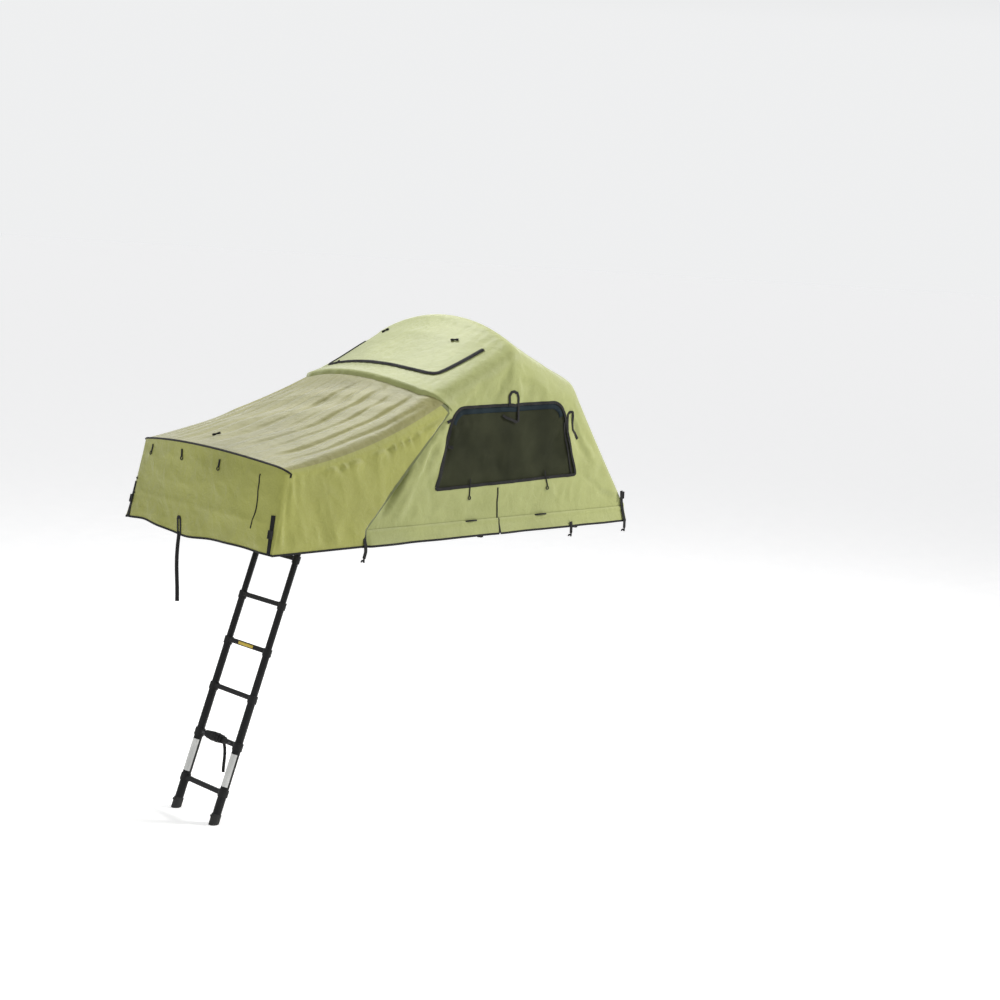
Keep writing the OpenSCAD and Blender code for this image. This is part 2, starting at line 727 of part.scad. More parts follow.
module window_mesh() {
    us = rows_from(0.8, 3.33);
    color([0.24, 0.25, 0.19]) on_deck() intersection() {
        canopy_patch(us, 0, wall_steps, fabric_t + fit, fabric_t + fit + mesh_t);
        along_y(-wall_y, 0) window_outline(mesh_border);
    }
}

module near_window_mesh() window_mesh();
module far_window_mesh() mirror([0, 1, 0]) window_mesh();

flap_margin = 3;

module skylight_flap() {
    us = rows_from(2.1, 2.95);
    first = wall_steps + flap_margin;
    color([0.74, 0.75, 0.55]) on_deck()
        canopy_patch(us, first, wall_steps + roof_count - 1 - flap_margin, -fit - fabric_t, -fit);
}

module inner_door() {
    us = rows_from(3.12, 3.96);
    color([0.30, 0.31, 0.24]) on_deck() intersection() {
        canopy_patch(us, wall_steps + 2, wall_steps + roof_count - 3,
            fabric_t + fit, fabric_t + fit + mesh_t);
        translate([front_x, 0, 0]) along_x(2 * half_length) door_outline(mesh_border);
    }
}

// Skirt: hangs outside the frame from the ladder end of the near side round to that of the far side

skirt_top = -2;
skirt_wave = 5;
skirt_start = 6;

side_stops = 12;
skirt_from = front_x + skirt_start;
skirt_to = end_x - skirt_bend;

// How far the hem waves out at stop i, counted from the ladder end, and at a place along the side
function hem_wave(i) = skirt_wave * sin(137 * i);
function hem_wave_at(x) =
    let (t = (x - skirt_from) / (skirt_to - skirt_from) * side_stops, i = floor(t))
    lerp(hem_wave(i), hem_wave(i + 1), t - i);

// Each stop is [x, y, outward x, outward y] along the skirt's top edge
function skirt_stops() =
    let (y = wall_y + skirt_fit, x = end_x + skirt_fit, r = skirt_bend + skirt_fit,
         side = [for (i = [0:side_stops - 1]) [lerp(skirt_from, skirt_to, i / side_stops), -y, 0, -1]],
         bend = [for (i = [0:5]) let (a = lerp(-90, 0, i / 5), c = cos(a), s = sin(a))
             [x - r + r * c, r - y + r * s, c, s]],
         half = concat(side, bend),
         end = [for (i = [1:5]) [x, lerp(r - y, y - r, i / 6), 1, 0]],
         n = len(half))
    concat(half, end, [for (i = [n - 1:-1:0]) [half[i][0], -half[i][1], half[i][2], -half[i][3]]]);

module skirt() {
    stops = skirt_stops();
    levels = [0, 0.35, 0.7, 1];
    point = function (i, h, o)
        let (s = stops[i], out = o + h * (skirt_flare + hem_wave(min(i, len(stops) - 1 - i))))
        [s[0] + s[2] * out, s[1] + s[3] * out, lerp(skirt_top, -skirt_drop, h)];
    color([0.66, 0.68, 0.42]) on_deck()
        sheet([for (h = levels) [for (i = [0:len(stops) - 1]) point(i, h, fabric_t)]],
              [for (h = levels) [for (i = [0:len(stops) - 1]) point(i, h, 0)]]);
}

// Vestibule: from the front hoop out to the vestibule hoop, with its walls down to the hem

porch_sag = 38;
porch_fold = 10;
porch_fold_turn = 23;
porch_steps = 14;
porch_wall_steps = 5;

function porch_row(k, o) =
    k == 0
    ? let (row = hoop_row(front_hoop_at, canopy_y, hoop_corner, o - seam_lap - fabric_t),
           sill = [front_x, -wall_y + o - seam_lap - fabric_t, 0],
           hem = [front_x - 20, -hem_y + o, -skirt_drop])
      with_walls(row, concat([[hem, 0]],
          [for (i = [0:porch_wall_steps - 2]) [sill, i / (porch_wall_steps - 1)]]))
    : let (row = hoop_row(porch_at, porch_canopy_y, porch_corner, o), hem = [hem_x, -hem_y + o, -skirt_drop])
      with_walls(row, [for (i = [0:porch_wall_steps - 1]) [hem, i / porch_wall_steps]]);

function porch_weight(j) = sin(180 * max(0, min(1, (j - porch_wall_steps) / (roof_count - 1))));

// Folds in the roof fan out from the near end of the front hoop
function porch_fan(s, y) =
    let (v = 0.5 + y / (2 * porch_canopy_y), turn = atan2(s, v + 0.02))
    cos(360 * (turn - 22) / porch_fold_turn) * min(1, norm([s, v]) / 0.2);

function porch_drop(s, j, y) =
    porch_weight(j) * (porch_sag * 4 * s * (1 - s) - porch_fold * sin(180 * s) * porch_fan(s, y));

module vestibule_canopy() {
    row = function (s, o)
        let (a = porch_row(0, o), b = porch_row(1, o))
        [for (j = [0:len(a) - 1]) let (p = lerp(a[j], b[j], s)) p - [0, 0, porch_drop(s, j, p[1])]];
    steps = [for (i = [0:porch_steps]) i / porch_steps];
    color([0.66, 0.66, 0.44]) on_deck()
        sheet([for (s = steps) row(s, 0)], [for (s = steps) row(s, fabric_t)]);
}

module vestibule_end_wall() {
    top = hoop_row(porch_at, porch_canopy_y, porch_corner, 0);
    levels = [for (i = [0:6]) i / 6];
    side = hem_y / porch_canopy_y;
    point = function (p, h, o)
        let (foot = [hem_x, p[1] * side, -skirt_drop])
        lerp(foot, p, h) - [o + 10 * sin(180 * h) * cos(90 * p[1] / porch_canopy_y), 0, 0];
    color([0.60, 0.61, 0.34]) on_deck()
        sheet([for (h = levels) [for (p = top) point(p, h, fit + fabric_t)]],
              [for (h = levels) [for (p = top) point(p, h, fit)]]);
}

// Webbing: the long tail on the vestibule's hem and the short hook straps along the hem

webbing_w = 25;
webbing_t = 2.5;

// A flat strap swept down a list of points, its width across Y or along X
module strap(points, wide) {
    n = len(points);
    ring = [for (k = [0:7]) [cos(45 * k) * webbing_w / 2, sin(45 * k) * webbing_t / 2]];
    verts = [for (p = points) for (q = ring) p + q[0] * wide + q[1] * [wide[1], -wide[0], 0]];
    sides = [for (i = [0:n - 2]) for (k = [0:7]) let (a = i * 8 + k, b = i * 8 + (k + 1) % 8)
        each [[a, a + 8, b + 8], [a, b + 8, b]]];
    caps = [for (k = [1:6]) each [[0, k, k + 1], [(n - 1) * 8, (n - 1) * 8 + k + 1, (n - 1) * 8 + k]]];
    polyhedron(verts, concat(sides, caps));
}

// Route of the long tail, from the end wall's hem
tail_y = 163;
tail_route = [[0, 0, 0], [-1, 0, -14], [-4, 0, -40], [-7, 1, -80], [-9, 2, -125], [-9, 3, -170],
              [-8, 3, -215], [-6, 2, -260], [-4, 0, -305], [-3, -3, -350], [-3, -6, -395], [-4, -9, -430]];

module end_strap_tail() {
    color([0.05, 0.05, 0.05]) on_deck()
        translate([hem_x - fit - fabric_t / 2, tail_y, -skirt_drop]) strap(tail_route, [0, 1, 0]);
}

// Each hook strap is [x, length below the skirt's hem]
hook_straps = [[front_x + 40, 85], [660, 115], [half_length - 60, 95]];
hook_size = [webbing_w + 6, 8, 14];

module hem_straps() {
    color([0.05, 0.05, 0.05]) on_deck() both_sides() for (s = hook_straps)
        translate([s[0], fabric_t / 2 - hem_y - hem_wave_at(s[0]), -skirt_drop]) union() {
            strap([[0, 0, 0], [0, 0, -20], [0, 1, hook_size[2] / 2 - s[1]]], [1, 0, 0]);
            translate([-hook_size[0] / 2, 1 - hook_size[1] / 2, -s[1]]) cube(hook_size);
        }
}

// Ladder: X runs down the stiles from the pivot, Y across and Z towards the base

module at_ladder() on_deck() translate([ladder_pivot[0], 0, ladder_pivot[1]])
    rotate([0, 90 + ladder_lean, 0]) children();
module both_stiles() { for (side = [-1, 1]) translate([0, side * stile_spread / 2, 0]) children(); }
module tube_x(r, wall, x0, x1) translate([x0, 0, 0]) rotate([0, 90, 0]) difference() {
    cylinder(r = r, h = x1 - x0);
    translate([0, 0, -1]) cylinder(r = r - wall, h = x1 - x0 + 2);
}

function stile_r(i) = stile_d / 2 + i * (stile_wall + stile_gap);
// Distance down the stile to the rung at the top of section i, with section 5 at the foot
function rung_x(i) = ladder_length - first_rung - rung_pitch * (section_count + 1 - i);

ear_inner = tongue_t / 2 + clevis_gap;

// A plate under the frame's end flange, with two ears that hold each stile's tongue
module ladder_brackets() {
    under = ladder_hang - ear_t;
    color([0.12, 0.12, 0.12]) on_deck() translate([ladder_pivot[0], 0, ladder_pivot[1]])
        both_stiles() difference() {
            union() {
                for (y = [ear_inner, -ear_inner - ear_t])
                    along_y(y, y + ear_t) hull() {
                        circle(r = 15);
                        translate([-22, under]) square([44, ear_t]);
                    }
                translate([2 - ladder_inset, -34, under]) cube([ladder_inset + 20, 68, ear_t]);
            }
            pin_y(stud_r + running, -30, 30);
        }
}

module ladder_pivot_bolts() {
    outer = ear_inner + ear_t;
    color([0.7, 0.7, 0.72]) on_deck() translate([ladder_pivot[0], 0, ladder_pivot[1]]) both_stiles() union() {
        pin_y(stud_r, -outer, outer);
        pin_y(stud_r + 3.5, -outer - 5, -outer);
        pin_y(stud_r + 3.5, outer, outer + 5);
    }
}

tongue_reach = 30;

module ladder_head_tubes() {
    color([0.09, 0.09, 0.09]) at_ladder() both_stiles() difference() {
        union() {
            along_y(-tongue_t / 2, tongue_t / 2) union() {
                circle(r = 13);
                translate([0, -13]) square([tongue_reach + 6, 26]);
            }
            translate([tongue_reach, 0, 0]) rotate([0, 90, 0]) cylinder(r = stile_r(0), h = 12);
            tube_x(stile_r(0), stile_wall, tongue_reach + 12, rung_x(1) + stile_overlap);
        }
        pin_y(stud_r + running, -30, 30);
    }
}

module rung_bar(gap_r) {
    half = stile_spread / 2 - gap_r;
    h = rung_height / 2;
    d = rung_depth / 2;
    along_y(-half, half) polygon(rounded([[-h, -d], [h, -d], [h, d], [-h, d]], [5, 5, 9, 9]));
}

head_rung_at = 60;

module ladder_head_rung() {
    color([0.07, 0.07, 0.07]) at_ladder() translate([head_rung_at, 0, 0]) difference() {
        union() {
            rung_bar(stile_r(0));
            both_stiles() tube_x(stile_r(0) + collar_wall, collar_wall - running, -22, 22);
        }
        both_stiles() translate([-30, 0, 0]) rotate([0, 90, 0]) cylinder(r = stile_r(0) + running, h = 60);
    }
}

module stile_tubes(i) {
    last = i == section_count ? ladder_length - sole_t : rung_x(i + 1) + stile_overlap;
    color([0.09, 0.09, 0.09]) at_ladder() both_stiles()
        tube_x(stile_r(i), stile_wall, rung_x(i), last);
}

// The rung at the top of section i, with a collar that seats on its own tubes and clears the next ones
module top_rung(i) {
    r = stile_r(i);
    at_ladder() translate([rung_x(i), 0, 0]) difference() {
        union() {
            rung_bar(r);
            both_stiles() translate([-collar_up, 0, 0]) rotate([0, 90, 0])
                cylinder(r = r + collar_wall, h = collar_up + collar_down);
        }
        both_stiles() {
            rotate([0, 90, 0]) cylinder(r = r + running, h = collar_down + 1);
            translate([-collar_up - 1, 0, 0]) rotate([0, 90, 0])
                cylinder(r = stile_r(i - 1) + stile_gap, h = collar_up + 2);
        }
        children();
    }
}

module ladder_tubes_5() stile_tubes(1);
module ladder_tubes_4() stile_tubes(2);
module ladder_tubes_3() stile_tubes(3);
module ladder_tubes_2() stile_tubes(4);
module ladder_base_tubes() stile_tubes(5);
module rung_5() color([0.07, 0.07, 0.07]) top_rung(1);
module rung_4() color([0.07, 0.07, 0.07]) top_rung(2);
module rung_3() color([0.07, 0.07, 0.07]) top_rung(3);
module rung_2() color([0.07, 0.07, 0.07]) top_rung(4);

button = [13, 26, 8];
button_travel = 8;
button_inset = 52;
pocket_depth = 5;

module button_pocket() {
    for (side = [-1, 1])
        translate([-button[0] / 2 - fit, 0, -rung_depth / 2 - 1]) mirror([0, side < 0 ? 0 : 1, 0])
            translate([0, button_inset - stile_spread / 2 - fit, 0])
                cube([button[0] + 2 * fit, button[1] + button_travel + 2 * fit, pocket_depth + 1]);
}

module ladder_base_rungs() {
    r = stile_r(section_count);
    color([0.07, 0.07, 0.07]) union() {
        top_rung(section_count) button_pocket();
        at_ladder() translate([ladder_length - first_rung, 0, 0]) difference() {
            union() {
                rung_bar(r);
                both_stiles() translate([-22, 0, 0]) rotate([0, 90, 0]) cylinder(r = r + collar_wall, h = 44);
            }
            both_stiles() translate([-30, 0, 0]) rotate([0, 90, 0]) cylinder(r = r + running, h = 60);
        }
    }
}

module release_button(side) {
    color([0.55, 0.08, 0.06]) at_ladder()
        translate([rung_x(section_count) - button[0] / 2, 0, pocket_depth - rung_depth / 2 - fit - button[2]])
            mirror([0, side < 0 ? 0 : 1, 0]) translate([0, button_inset - stile_spread / 2, 0]) difference() {
                cube(button);
                for (k = [1:3])
                    translate([-1, button[1] * k / 4 - 1, -1]) cube([button[0] + 2, 2, 2]);
            }
}

module release_button_left() release_button(-1);
module release_button_right() release_button(1);

peg_r = 8;

module ladder_feet() {
    r = stile_r(section_count);
    top = ladder_length - boot_height;
    color([0.05, 0.05, 0.05]) difference() {
        at_ladder() both_stiles() difference() {
            union() {
                translate([top, 0, 0]) rotate([0, 90, 0]) cylinder(r = r + 4, h = boot_height + 30);
                translate([top + 14, 0, -r - 14]) cylinder(r = peg_r, h = r + 14);
            }
            translate([top - 1, 0, 0]) rotate([0, 90, 0])
                cylinder(r = r + running, h = boot_height - sole_t + 1);
        }
        on_deck() translate([-3 * half_length, -half_w, -floor_height - 200])
            cube([3 * half_length, base_width, 200]);
    }
}

fixed_frame();
fixed_panel();
foldout_frame();
foldout_panel();
fixed_mattress();
foldout_mattress();
fixed_hinge_plates();
foldout_hinge_plates();
hinge_pins();
hoop_pivot_studs();
fixed_fabric_rails();
foldout_fabric_rails();
hinge_rail();
end_rail();
rail_end_caps();
clamp_saddles();
clamp_jaws();
clamp_bolts();
clamp_nuts();
clamp_knob_1();
clamp_knob_2();
clamp_knob_3();
clamp_knob_4();
front_hoop();
front_hoop_ends();
ridge_hoop();
ridge_hoop_ends();
rear_hoop();
rear_hoop_ends();
vestibule_hoop();
vestibule_hoop_ends();
vestibule_brackets();
vestibule_pivot_studs();
main_canopy();
near_window_mesh();
far_window_mesh();
skylight_flap();
skirt();
inner_door();
vestibule_canopy();
vestibule_end_wall();
end_strap_tail();
hem_straps();
ladder_brackets();
ladder_pivot_bolts();
ladder_head_tubes();
ladder_head_rung();
ladder_tubes_5();
rung_5();
ladder_tubes_4();
rung_4();
ladder_tubes_3();
rung_3();
ladder_tubes_2();
rung_2();
ladder_base_tubes();
ladder_base_rungs();
ladder_feet();
release_button_left();
release_button_right();
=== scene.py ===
import math
import bpy
import bmesh
import numpy as np
from mathutils import Matrix, Vector


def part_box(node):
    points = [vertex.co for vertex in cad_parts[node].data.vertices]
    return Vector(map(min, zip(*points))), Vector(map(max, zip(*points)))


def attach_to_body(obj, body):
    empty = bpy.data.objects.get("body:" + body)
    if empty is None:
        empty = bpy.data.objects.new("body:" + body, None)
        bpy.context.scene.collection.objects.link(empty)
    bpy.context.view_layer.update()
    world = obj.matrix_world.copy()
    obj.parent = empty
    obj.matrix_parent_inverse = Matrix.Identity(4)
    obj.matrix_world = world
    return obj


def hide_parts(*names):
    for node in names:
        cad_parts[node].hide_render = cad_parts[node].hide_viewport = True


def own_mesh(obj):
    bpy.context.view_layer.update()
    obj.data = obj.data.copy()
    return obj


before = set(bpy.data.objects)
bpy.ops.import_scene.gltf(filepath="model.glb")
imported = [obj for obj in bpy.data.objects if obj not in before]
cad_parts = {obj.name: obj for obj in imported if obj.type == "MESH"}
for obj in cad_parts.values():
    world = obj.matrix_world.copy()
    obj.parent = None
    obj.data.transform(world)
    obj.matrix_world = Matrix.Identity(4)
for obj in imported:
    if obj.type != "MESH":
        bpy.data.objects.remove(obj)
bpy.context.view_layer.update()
bpy.ops.object.select_all(action="DESELECT")
print("frame loaded:", len(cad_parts), "nodes")

# everything below is measured from the hinge line at floor height, in metres
tent = {
    "origin": (-0.545, 0.0, 0.123),
    "canopyY": 0.690, "porchY": 0.7185, "wallY": 0.7228, "endX": 1.2328, "frontX": -1.110,
    "hemX": -1.840, "hemY": 0.7528, "hemZ": -0.100, "wallDrop": 0.014, "endLip": 0.010,
    "hoopCorner": 0.150, "porchCorner": 0.080, "bend": 0.040, "lap": 0.0042,
    "groundZ": -1.862, "splitX": 0.0,
}
# pivot x, pivot z, leg, open angle, crown
hoopSet = {
    "rear": (0.120, 0.070, 0.944, 52.1, 0.150),
    "ridge": (0.080, 0.098, 0.967, 87.5, 0.190),
    "front": (0.040, 0.166, 0.818, 131.3, 0.135),
    "porch": (-1.262, 0.100, 0.570, 148.5, 0.100),
}
cells = {"wall": 44, "corner": 14, "crown": 130, "span": 34, "porchHem": 9, "porchWall": 36, "porch": 140, "end": 46}
origin = np.array(tent["origin"])
roofCount = 2 * cells["corner"] + cells["crown"] + 1


def rowPoint(x, y, z):
    return Vector((x + origin[0], y + origin[1], z + origin[2]))


# the photo's view and the studio's lights
cameraSet = {"place": (-8.045, -8.770, 1.813), "yaw": 44.98, "pitch": -8.50, "roll": 3.52, "lens": 64.39}
lightSet = {
    "key": {"place": (5.2, -4.6, 4.6), "aim": (-0.4, 0.0, 0.2), "size": 1.3, "power": 500,
            "tint": (1.0, 0.98, 0.95)},
    "fill": {"place": (-7.5, -0.5, 3.4), "aim": (-0.8, 0.0, 0.2), "size": 3.0, "power": 64,
            "tint": (0.98, 0.99, 1.0)},
    "top": {"place": (0.5, 2.0, 5.0), "aim": (-0.8, 0.0, 0.3), "size": 1.4, "power": 250,
            "tint": (1.0, 1.0, 1.0)},
}


def addCamera(s):
    yaw, pitch, roll = (math.radians(s[k]) for k in ("yaw", "pitch", "roll"))
    ahead = Vector((math.cos(pitch) * math.cos(yaw), math.cos(pitch) * math.sin(yaw), math.sin(pitch)))
    right = ahead.cross(Vector((0, 0, 1))).normalized()
    up = right.cross(ahead)
    r = math.cos(roll) * right + math.sin(roll) * up
    u = -math.sin(roll) * right + math.cos(roll) * up
    data = bpy.data.cameras.new("photoCamera")
    data.lens, data.sensor_width, data.clip_end = s["lens"], 36.0, 200.0
    cam = bpy.data.objects.new("photoCamera", data)
    bpy.context.collection.objects.link(cam)
    turn = Matrix((r, u, -ahead)).transposed().to_4x4()
    cam.matrix_world = Matrix.Translation(rowPoint(*s["place"])) @ turn
    bpy.context.scene.camera = cam


def addLight(name, s):
    data = bpy.data.lights.new(name, "AREA")
    data.size, data.energy, data.color = s["size"], s["power"], s["tint"]
    light = bpy.data.objects.new(name, data)
    bpy.context.collection.objects.link(light)
    here, there = rowPoint(*s["place"]), rowPoint(*s["aim"])
    light.location = here
    light.rotation_euler = (there - here).to_track_quat("-Z", "Y").to_euler()


addCamera(cameraSet)
for lightName, lightValues in lightSet.items():
    addLight(lightName, lightValues)
bpy.context.scene.view_settings.view_transform = "Standard"
print("camera and lights set")


def addNode(mat, kind, inputs=None, **settings):
    made = mat.node_tree.nodes.new(kind)
    for key, value in settings.items():
        setattr(made, key, value)
    for key, value in (inputs or {}).items():
        if isinstance(value, bpy.types.NodeSocket):
            mat.node_tree.links.new(value, made.inputs[key])
        else:
            made.inputs[key].default_value = value
    return made


def startMaterial(name, **sockets):
    mat = bpy.data.materials.new(name)
    mat.use_nodes = True
    shader = mat.node_tree.nodes["Principled BSDF"]
    for key, value in sockets.items():
        shader.inputs[key.replace("_", " ")].default_value = value
    return mat, shader, addNode(mat, "ShaderNodeTexCoord")


def ramp(mat, factor, stops):
    made = addNode(mat, "ShaderNodeValToRGB", {"Fac": factor})
    band = made.color_ramp
    while len(band.elements) < len(stops):
        band.elements.new(0.5)
    for element, (at, colour) in zip(band.elements, stops):
        element.position = at
        element.color = (*colour, 1)
    return made.outputs["Color"]


def link(mat, source, shader, socket):
    mat.node_tree.links.new(source, shader.inputs[socket])


def mathNode(mat, operation, *values):
    return addNode(mat, "ShaderNodeMath", dict(enumerate(values)), operation=operation).outputs[0]


def spots(mat, vector, scale, detail, kind="FBM", **inputs):
    values = {"Vector": vector, "Scale": scale, "Detail": detail, **inputs}
    return addNode(mat, "ShaderNodeTexNoise", values, noise_type=kind).outputs["Fac"]


def bump(mat, height, strength, deep, **under):  # may lie on another bump
    values = {"Height": height, "Strength": strength, "Distance": deep, **under}
    return addNode(mat, "ShaderNodeBump", values).outputs["Normal"]


def wovenHeight(mat, coords, warp, weft):
    threads = []
    for way, scale in (("X", warp), ("Y", weft)):
        values = {"Vector": coords, "Scale": scale, "Distortion": 0.6}
        threads.append(addNode(mat, "ShaderNodeTexWave", values, bands_direction=way).outputs["Fac"])
    return mathNode(mat, "MAXIMUM", *threads)


def canvasCloth(name, shade, pale, weave, crumple):
    mat, shader, at = startMaterial(name, Roughness=0.62, Sheen_Weight=0.5, Sheen_Roughness=0.35,
                                    Specular_IOR_Level=0.45, Coat_Weight=0.15, Coat_Roughness=0.45)
    place = at.outputs["Object"]
    blotch = mathNode(mat, "MULTIPLY", spots(mat, place, 1.7, 6.0, Roughness=0.62), 0.8)
    mixed = mathNode(mat, "MULTIPLY_ADD", spots(mat, place, 95.0, 2.0), 0.2, blotch)
    link(mat, ramp(mat, mixed, [(0.33, shade), (0.62, pale)]), shader, "Base Color")
    soft = spots(mat, place, 13.0, 5.0, Roughness=0.55, Distortion=0.5)
    ridged = spots(mat, place, 7.0, 4.0, "RIDGED_MULTIFRACTAL", Roughness=0.5, Distortion=0.8)
    low = bump(mat, soft, crumple, 0.012, Normal=bump(mat, ridged, crumple, 0.004))
    threads = wovenHeight(mat, at.outputs["UV"], weave, weave)
    link(mat, bump(mat, threads, 0.35, 0.0006, Normal=low), shader, "Normal")
    return mat


def openWeave(name, weave, wear, stops, strength, **sockets):
    mat, shader, at = startMaterial(name, **sockets)
    height = wovenHeight(mat, at.outputs["UV"], *weave)
    rubbed = mathNode(mat, "MULTIPLY", height, spots(mat, at.outputs["Object"], *wear))
    link(mat, ramp(mat, rubbed, stops), shader, "Base Color")
    link(mat, bump(mat, height, strength, 0.0008), shader, "Normal")
    return mat


def netCloth(name, dark, lit):
    return openWeave(name, (150.0, 150.0), (4.0, 4.0), [(0.2, dark), (0.75, lit)], 0.5,
                     Roughness=0.8, Specular_IOR_Level=0.12)


def wovenTape(name, dark, lit):
    return openWeave(name, (130.0, 210.0), (45.0, 3.0), [(0.15, dark), (0.8, lit)], 0.6,
                     Roughness=0.7, Sheen_Weight=0.05, Specular_IOR_Level=0.15)


def hardFinish(name, shade, pale, rough, metallic, grain, depth, stretch=(1, 1, 1)):
    mat, shader, at = startMaterial(name, Metallic=metallic)
    spread = addNode(mat, "ShaderNodeMapping", {"Vector": at.outputs["Object"], "Scale": stretch})
    speck = spots(mat, spread.outputs["Vector"], grain, 4.0)
    wear = spots(mat, at.outputs["Object"], 6.0, 6.0)
    link(mat, ramp(mat, mathNode(mat, "MULTIPLY", speck, wear), [(0.12, shade), (0.42, pale)]), shader, "Base Color")
    gloss = addNode(mat, "ShaderNodeMapRange", {"Value": wear, "To Min": rough - 0.1, "To Max": rough + 0.12})
    link(mat, gloss.outputs["Result"], shader, "Roughness")
    link(mat, bump(mat, speck, 0.4, depth), shader, "Normal")
    return mat


world = bpy.data.worlds.new("studio")
world.use_nodes = True
sky = world.node_tree.nodes["Background"]
sky.inputs["Strength"].default_value = 1.0
skyAt = addNode(world, "ShaderNodeTexCoord")
skyHeight = addNode(world, "ShaderNodeSeparateXYZ", {"Vector": skyAt.outputs["Generated"]})
skyStops = [(0.12, (0.86, 0.865, 0.87)), (0.36, (0.40, 0.41, 0.43))]
link(world, ramp(world, skyHeight.outputs["Z"], skyStops), sky, "Color")
bpy.context.scene.world = world

finish = {
    "canopy": canvasCloth("canopyCanvas", (0.262, 0.284, 0.094), (0.326, 0.350, 0.122), 190.0, 0.75),
    "porchRoof": canvasCloth("porchRoofCanvas", (0.196, 0.186, 0.058), (0.264, 0.251, 0.080), 190.0, 0.85),
    # painted shade: dark cloth standing in for the shadow in the fold along the vestibule's front seams
    "porchSeamShade": canvasCloth("porchSeamShadeCanvas", (0.082, 0.096, 0.024), (0.118, 0.132, 0.036), 190.0, 0.90),
    "porchWall": canvasCloth("porchWallCanvas", (0.250, 0.256, 0.050), (0.320, 0.327, 0.068), 190.0, 0.85),
    "quilt": canvasCloth("mattressCover", (0.20, 0.21, 0.19), (0.30, 0.31, 0.28), 120.0, 0.2),
    "net": netCloth("windowNet", (0.014, 0.016, 0.007), (0.048, 0.052, 0.026)),
    "shadeBand": netCloth("windowShade", (0.008, 0.014, 0.018), (0.020, 0.034, 0.042)),
    "tape": wovenTape("blackTape", (0.004, 0.004, 0.004), (0.016, 0.016, 0.015)),
    "alloy": hardFinish("frameAlloy", (0.42, 0.43, 0.44), (0.66, 0.67, 0.68), 0.42, 1.0, 60.0, 0.0003, (1, 14, 14)),
    "hoopAlloy": hardFinish("hoopAlloy", (0.48, 0.49, 0.5), (0.74, 0.75, 0.76), 0.34, 1.0, 70.0, 0.0002, (8, 1, 8)),
    "panel": hardFinish("paintedPanel", (0.56, 0.56, 0.54), (0.70, 0.70, 0.67), 0.55, 0.0, 120.0, 0.0004),
    "powder": hardFinish("powderCoat", (0.012, 0.012, 0.012), (0.040, 0.040, 0.040), 0.48, 0.0, 420.0, 0.0005),
    "zinc": hardFinish("zincPlate", (0.40, 0.40, 0.41), (0.66, 0.66, 0.64), 0.36, 1.0, 90.0, 0.0002),
    "rail": hardFinish("blackRail", (0.014, 0.014, 0.015), (0.045, 0.045, 0.048), 0.38, 0.3, 60.0, 0.0003,
                       (12, 1, 12)),
    "plastic": hardFinish("mouldedPlastic", (0.006, 0.006, 0.006), (0.020, 0.020, 0.020), 0.52, 0.0, 620.0, 0.0005),
    "stile": hardFinish("blackStile", (0.006, 0.006, 0.006), (0.018, 0.018, 0.019), 0.40, 0.2, 40.0, 0.0002,
                        (30, 30, 1)),
    "tread": hardFinish("treadPlastic", (0.006, 0.006, 0.006), (0.018, 0.018, 0.018), 0.50, 0.0, 500.0, 0.0006),
    "rubber": hardFinish("footRubber", (0.008, 0.008, 0.008), (0.026, 0.026, 0.025), 0.72, 0.0, 300.0, 0.0008),
    "button": hardFinish("buttonPlastic", (0.030, 0.030, 0.031), (0.070, 0.070, 0.072), 0.42, 0.0, 500.0, 0.0004),
    "strip": hardFinish("plainStrip", (0.52, 0.52, 0.50), (0.72, 0.72, 0.69), 0.45, 0.0, 160.0, 0.0003),
    "yellow": hardFinish("yellowStrip", (0.50, 0.36, 0.03), (0.66, 0.50, 0.06), 0.45, 0.0, 160.0, 0.0003),
    "floor": hardFinish("studioFloor", (0.86, 0.865, 0.87), (0.91, 0.91, 0.91), 0.8, 0.0, 3.0, 0.0002),
}
for name in ("stile", "tread", "plastic", "tape"):  # deep black, with little gloss
    finish[name].node_tree.nodes["Principled BSDF"].inputs["Specular IOR Level"].default_value = 0.22
print("materials made:", len(finish))


def blend(a, b, t):
    return a * (1 - t) + b * t


def easeIn(t):
    t = np.clip(t, 0, 1)
    return t * t * (3 - 2 * t)


def latticeValue(i, j, seed):
    h = np.sin(i * 127.1 + j * 311.7 + seed * 74.7) * 43758.5453
    return h - np.floor(h)


def cloud(a, b, seed):
    i, j = np.floor(a), np.floor(b)
    s, t = easeIn(a - i), easeIn(b - j)
    low = blend(latticeValue(i, j, seed), latticeValue(i + 1, j, seed), s)
    high = blend(latticeValue(i, j + 1, seed), latticeValue(i + 1, j + 1, seed), s)
    return 2 * blend(low, high, t) - 1


def crease(a, b, seed):  # ridged noise, sharp along its folds
    return 1 - 2 * abs(cloud(a, b, seed))


def archLine(y, corner, crown, grow=0.0):
    r = (y * y + crown * crown) / (2 * crown)
    spread = math.asin((y - corner) / (r - corner))
    shoulder = crown - r + math.sqrt((r - corner) ** 2 - (y - corner) ** 2)
    a = np.linspace(math.pi, math.pi / 2 + spread, cells["corner"] + 1)
    near = np.stack([(corner + grow) * np.cos(a) + corner - y, (corner + grow) * np.sin(a) + shoulder], 1)
    a = np.linspace(math.pi / 2 + spread, math.pi / 2 - spread, cells["crown"] + 1)[1:-1]
    top = np.stack([(r + grow) * np.cos(a), crown - r + (r + grow) * np.sin(a)], 1)
    return np.concatenate([near, top, near[::-1] * [-1, 1]])


def hoopTurn(name):
    angle = math.radians(hoopSet[name][3])
    return math.cos(angle), math.sin(angle)


def hoopLine(name, y, corner, grow=0.0):
    px, pz, leg, _, crown = hoopSet[name]
    c, s = hoopTurn(name)
    line = archLine(y, corner, crown, grow)
    along = leg + line[:, 1]
    return np.stack([px + along * c, line[:, 0], pz + along * s], 1)


